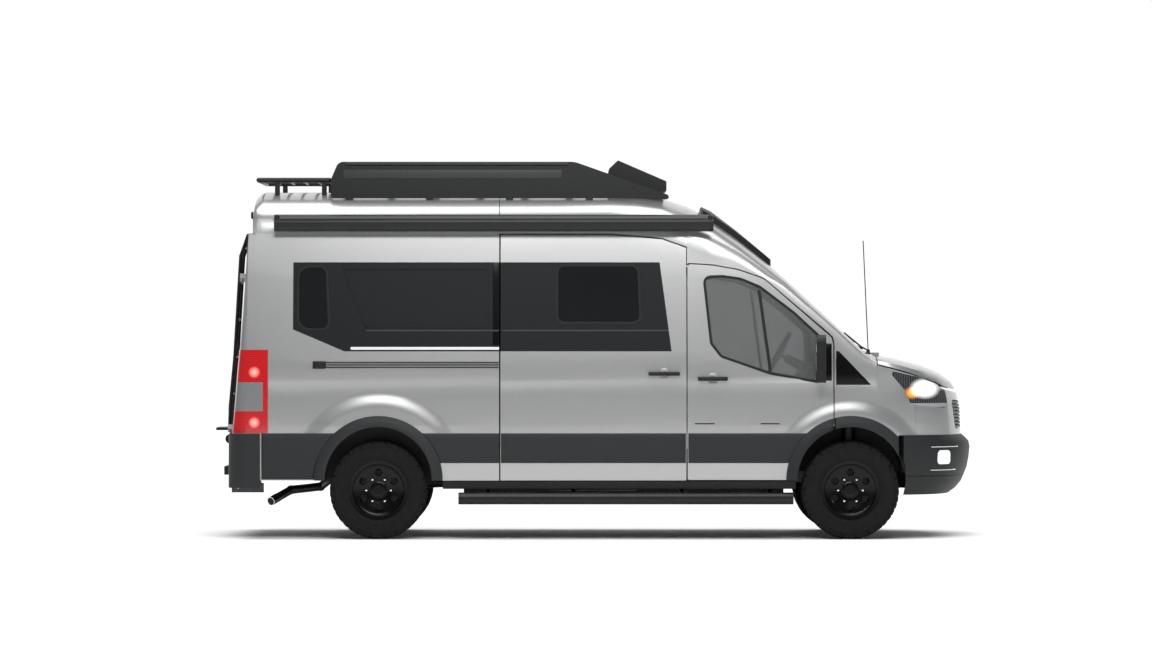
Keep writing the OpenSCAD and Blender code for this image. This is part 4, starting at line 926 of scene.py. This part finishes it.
class VAN_OT_boards(bpy.types.Operator):
    """Tread bars and amber markers of the running boards."""

    bl_idname = "van.boards"
    bl_label = "Running boards"

    def execute(self, context):
        low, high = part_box("running_boards")
        for hand, tag in SIDES:
            bm = bmesh.new()
            for group in range(4):
                for bar in range(9):
                    x = low.x + 0.16 + group * 0.64 + bar * 0.045
                    far_corner = (x + 0.026, high.y - 0.020, 0.3755)
                    side_box(bm, hand, (x, high.y - 0.085, 0.368), far_corner, 0.003, 2)
            piece(f"board_treads_{tag}", bm, MAT["trim"], "van")
            bm = bmesh.new()
            far_corner = (high.x - 0.05, high.y - 0.001, 0.334)
            side_box(bm, hand, (high.x - 0.10, high.y - 0.006, 0.312), far_corner, 0.002, 2)
            piece(f"board_marker_{tag}", bm, MAT["amber"], "van")
        return {"FINISHED"}


class VAN_OT_mirrors(bpy.types.Operator):
    """Painted panels and glass of the mirrors."""

    bl_idname = "van.mirrors"
    bl_label = "Mirrors"

    def execute(self, context):
        for hand, tag in SIDES:
            low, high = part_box(f"mirror_{tag}")
            out = max(-low.y, high.y)
            bm = bmesh.new()
            side_box(bm, hand, (FA - 0.2815, out - 0.165, 1.330), (FA - 0.2035, out - 0.020, 1.475), 0.012)
            piece(f"mirror_panel_{tag}", bm, MAT["paint"], f"cab_door_{tag}")
            bm = bmesh.new()
            side_box(bm, hand, (FA - 0.283, out - 0.155, 1.49), (FA - 0.279, out - 0.030, 1.60), 0.0018, 2)
            piece(f"mirror_glass_{tag}", bm, MAT["chrome"], f"cab_door_{tag}")
        return {"FINISHED"}


class VAN_OT_rear_fittings(bpy.types.Operator):
    """Handle of the rear doors and the brake lamp on the roof's rear edge."""

    bl_idname = "van.rear_fittings"
    bl_label = "Rear handle and brake lamp"

    def execute(self, context):
        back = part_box("rear_door_right")[0].x + 0.028
        bm = bmesh.new()
        soft_box(bm, (back + 0.028, 0.02, 1.20), (back + 0.075, 0.24, 1.25), 0.012)
        piece("rear_handle", bm, MAT["trim"], "back_door_left")
        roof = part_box("roof")[0]
        bm = bmesh.new()
        soft_box(bm, (roof.x - 0.045, -0.42, 2.56), (roof.x + 0.03, 0.42, 2.62), 0.014)
        piece("roof_brake_lamp", bm, MAT["trim"], "van")
        return {"FINISHED"}


class VAN_OT_wipers(bpy.types.Operator):
    """Two parked wipers at the foot of the windscreen."""

    bl_idname = "van.wipers"
    bl_label = "Wipers"

    def execute(self, context):
        bm = bmesh.new()
        for side in (-0.62, 0.08):
            arm = []
            for t in (0, 0.25, 0.5, 0.75, 1):
                arm.append(screen_point(0.150 - 0.16 * t, side + 0.42 * t, 0.018 + 0.012 * t * (1 - t)))
            tube(bm, arm, 0.007, 8)
            blade = []
            for t in (0, 0.2, 0.4, 0.6, 0.8, 1):
                blade.append(screen_point(0.055 - 0.10 * t, side + 0.12 + 0.60 * t, 0.009))
            tube(bm, blade, 0.006, 8)
        piece("wipers", bm, MAT["trim"], "van")
        return {"FINISHED"}


# Crease of the window band behind the sliding door, from the front axle: (place, height)
BAND_CREASE = (
    (-4.051, 2.203), (-4.025, 2.100), (-3.985, 1.975), (-3.945, 1.860), (-3.910, 1.775), (-3.870, 1.710),
    (-3.830, 1.678), (-3.790, 1.664),
)


class VAN_OT_body_lines(bpy.types.Operator):
    """Roof seam and post of the window band, a pale strip and grey strips on its ledges as painted highlights, and
    a dark line along its crease as painted shade.
    """

    bl_idname = "van.body_lines"
    bl_label = "Body lines"

    def execute(self, context):
        half = side_y(DRIP_Z)
        seam = []
        for angle in range(-80, 81, 8):
            y = half * math.sin(math.radians(angle))
            seam.append((FA - 2.797, y, DRIP_Z + ROOF_RISE * crown(abs(y / half)) - 0.001))
        bm = bmesh.new()
        tube(bm, seam, 0.003, 6)
        piece("roof_seam", bm, MAT["gasket"], "van")
        quarter_front = at(SLIDER_REAR - SEAM)
        # Pale strip along the band's lower edge behind the sliding door: a painted highlight
        bm = bmesh.new()
        side_patch(bm, at(FA - 3.980), quarter_front, 1.508, 1.532, 0.003, RIGHT)
        piece("quarter_ledge", bm, MAT["ledge"], "van")
        # Grey strips on the band's step: a painted highlight where the step catches light
        bm = bmesh.new()
        side_patch(bm, at(SLIDER_REAR + SEAM), at(FA - 1.450), 1.655, 1.668, 0.003, RIGHT)
        side_patch(bm, at(FA - 3.860), quarter_front, 1.655, 1.668, 0.003, RIGHT)
        piece("band_ledge", bm, MAT["pale"], "van")
        # Dark line along the crease of the band's recess: painted shade of the recess's edge
        bm = bmesh.new()
        tube(bm, [on_side(FA + x, z, -0.0005, RIGHT) for x, z in BAND_CREASE], 0.0035, 8)
        piece("band_crease", bm, MAT["gasket"], "van")
        bm = bmesh.new()
        side_patch(bm, at(SLIDER_REAR - SEAM - 0.052), quarter_front, 1.545, 2.204, 0.002, RIGHT, 4)
        piece("band_post", bm, MAT["wheel"], "van")
        return {"FINISHED"}


class VAN_OT_exhaust_end(bpy.types.Operator):
    """Bright tip at the end of the exhaust, and a dark disc in its end as painted shade of the pipe's hollow."""

    bl_idname = "van.exhaust_end"
    bl_label = "Exhaust end"

    def execute(self, context):
        end = Vector((FA - 4.626, -0.780, 0.296))
        before = Vector((FA - 4.480, -0.560, 0.380))
        way = (end - before).normalized()
        bm = bmesh.new()
        tube(bm, (end - way * 0.09, end + way * 0.002), 0.0365, 24)
        piece("exhaust_tip", bm, MAT["chrome"], "van")
        # Dark disc in the pipe's end: painted shade standing in for its hollow
        bm = bmesh.new()
        tube(bm, (end, end + way * 0.003), 0.031, 24)
        piece("exhaust_bore", bm, MAT["gasket"], "van")
        return {"FINISHED"}


class VAN_OT_front_lines(bpy.types.Operator):
    """Chrome lines above and below the fog lamps, and the bumper's seam."""

    bl_idname = "van.front_lines"
    bl_label = "Front bumper lines"

    def execute(self, context):
        for hand, tag in SIDES:
            bm = bmesh.new()
            for z in (0.735, 0.550):
                tube(bm, [bumper_point(a, z, 0.001, hand) for a in range(38, 61, 2)], 0.006, 8)
            piece(f"fog_lines_{tag}", bm, MAT["chrome"], "van")
            bm = bmesh.new()
            tube(bm, [bumper_point(a, 0.500, -0.0015, hand) for a in range(4, 73, 4)], 0.0035, 8)
            piece(f"bumper_seam_{tag}", bm, MAT["gasket"], "van")
        return {"FINISHED"}


# Middle of a seat across the van, foot of its backrest, and how far the backrest leans back over its height
SEAT_Y = 0.430
BACK_FOOT = 1.07
BACK_LEAN = 0.03
BACK_HEIGHT = 0.85


class VAN_OT_seats(bpy.types.Operator):
    """Padded cab seats in place of the plain solids."""

    bl_idname = "van.seats"
    bl_label = "Seats"

    def execute(self, context):
        bm = bmesh.new()
        for hand in (RIGHT, LEFT):
            y = hand * SEAT_Y
            soft_box(bm, (FA - 1.24, y - 0.25, 0.965), (FA - 0.65, y + 0.25, 1.085), 0.05, 5)
            soft_box(bm, (FA - 1.17, y - 0.20, 0.721), (FA - 0.73, y + 0.20, 0.975), 0.02)
            start = len(bm.verts)
            soft_box(bm, (FA - 1.285, y - 0.245, BACK_FOOT), (FA - 1.155, y + 0.245, 1.755), 0.055, 5)
            soft_box(bm, (FA - 1.275, y - 0.12, 1.765), (FA - 1.195, y + 0.12, 1.915), 0.035, 5)
            bm.verts.ensure_lookup_table()
            for v in bm.verts[start:]:
                v.co.x -= BACK_LEAN * (v.co.z - BACK_FOOT) / BACK_HEIGHT
        seats = piece("seats_padded", bm, MAT["weave"], "van", 60)
        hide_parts("seats")
        return {"FINISHED"}


# Half size of the floor, and the wall's place behind the van, bottom and top
FLOOR = 90
WALL_Y = 62
WALL_LOW = -1
WALL_HIGH = 60


class VAN_OT_stage(bpy.types.Operator):
    """Pale floor, white wall, soft light and the photo's camera."""

    bl_idname = "van.stage"
    bl_label = "Stage"

    def execute(self, context):
        s = context.scene.van
        scene = context.scene
        scene.view_settings.view_transform = "Standard"
        world = bpy.data.worlds.new("studio")
        world.use_nodes = True
        world.node_tree.nodes["Background"].inputs["Color"].default_value = linear("#6a6c6e")
        world.node_tree.nodes["Background"].inputs["Strength"].default_value = 1.0
        scene.world = world
        floor = ((-FLOOR, -FLOOR, 0), (FLOOR, -FLOOR, 0), (FLOOR, FLOOR, 0), (-FLOOR, FLOOR, 0))
        self.plane("studio_floor_plane", floor, MAT["floor"])
        white, _, shader, _ = material("studio_wall", {"Roughness": 1.0, "Emission Strength": 1.0})
        shader.inputs["Base Color"].default_value = linear("#000000")
        shader.inputs["Emission Color"].default_value = linear("#ffffff")
        wall = (
            (-FLOOR, WALL_Y, WALL_LOW), (FLOOR, WALL_Y, WALL_LOW), (FLOOR, WALL_Y, WALL_HIGH),
            (-FLOOR, WALL_Y, WALL_HIGH),
        )
        self.plane("studio_wall_plane", wall, white)
        sun = bpy.data.lights.new("sky_light", "SUN")
        sun.energy = 3.3
        sun.angle = math.radians(60)
        self.put(sun, (0, 0, 14), (0, 0, 0))
        soft = bpy.data.lights.new("side_softbox", "AREA")
        soft.energy = 380
        soft.shape = "RECTANGLE"
        soft.size, soft.size_y = 6, 1.2
        self.put(soft, (0, -7, 5.5), (math.radians(58), 0, 0))
        camera = bpy.data.cameras.new("photo_camera")
        camera.lens, camera.sensor_width, camera.sensor_fit = 161, 36, "HORIZONTAL"
        camera.clip_end = 300
        scene.camera = self.put(camera, (FA - 2.186, -s.camera_away, s.camera_height), (math.pi / 2, 0, 0))
        return {"FINISHED"}

    def plane(self, name, corners, mat):
        """Flat stage piece from its corners."""
        mesh = bpy.data.meshes.new(name)
        mesh.from_pydata(corners, [], [range(4)])
        mesh.materials.append(mat)
        obj = bpy.data.objects.new(name, mesh)
        bpy.context.scene.collection.objects.link(obj)

    def put(self, data, location, turn):
        """Light or camera at a place, turned."""
        obj = bpy.data.objects.new(data.name, data)
        obj.location, obj.rotation_euler = location, turn
        bpy.context.scene.collection.objects.link(obj)
        return obj


OPERATORS = (
    VAN_OT_materials, VAN_OT_cladding, VAN_OT_windows, VAN_OT_handles, VAN_OT_slider_rail, VAN_OT_stripes,
    VAN_OT_wheels, VAN_OT_awning, VAN_OT_roof_rack, VAN_OT_boards, VAN_OT_mirrors, VAN_OT_rear_fittings,
    VAN_OT_wipers, VAN_OT_body_lines, VAN_OT_exhaust_end, VAN_OT_front_lines, VAN_OT_seats, VAN_OT_stage,
)


class VAN_PT_panel(bpy.types.Panel):
    """The van's settings and steps."""

    bl_label = "Camper van"
    bl_idname = "VAN_PT_panel"
    bl_space_type = "VIEW_3D"
    bl_region_type = "UI"
    bl_category = "Van"

    def draw(self, context):
        for name in VanSettings.__annotations__:
            self.layout.prop(context.scene.van, name)
        for step in OPERATORS:
            self.layout.operator(step.bl_idname)


CLASSES = (VanSettings, *OPERATORS, VAN_PT_panel)


def register():
    for cls in CLASSES:
        bpy.utils.register_class(cls)
    bpy.types.Scene.van = bpy.props.PointerProperty(type=VanSettings)


def unregister():
    del bpy.types.Scene.van
    for cls in reversed(CLASSES):
        bpy.utils.unregister_class(cls)


def main():
    register()
    bpy.ops.van.materials()
    bpy.ops.van.cladding()
    bpy.ops.van.windows()
    bpy.ops.van.handles()
    bpy.ops.van.slider_rail()
    bpy.ops.van.stripes()
    bpy.ops.van.wheels()
    bpy.ops.van.awning()
    bpy.ops.van.roof_rack()
    bpy.ops.van.boards()
    bpy.ops.van.mirrors()
    bpy.ops.van.rear_fittings()
    bpy.ops.van.wipers()
    bpy.ops.van.body_lines()
    bpy.ops.van.exhaust_end()
    bpy.ops.van.front_lines()
    bpy.ops.van.seats()
    bpy.ops.van.stage()


if __name__ == "__main__":
    main()
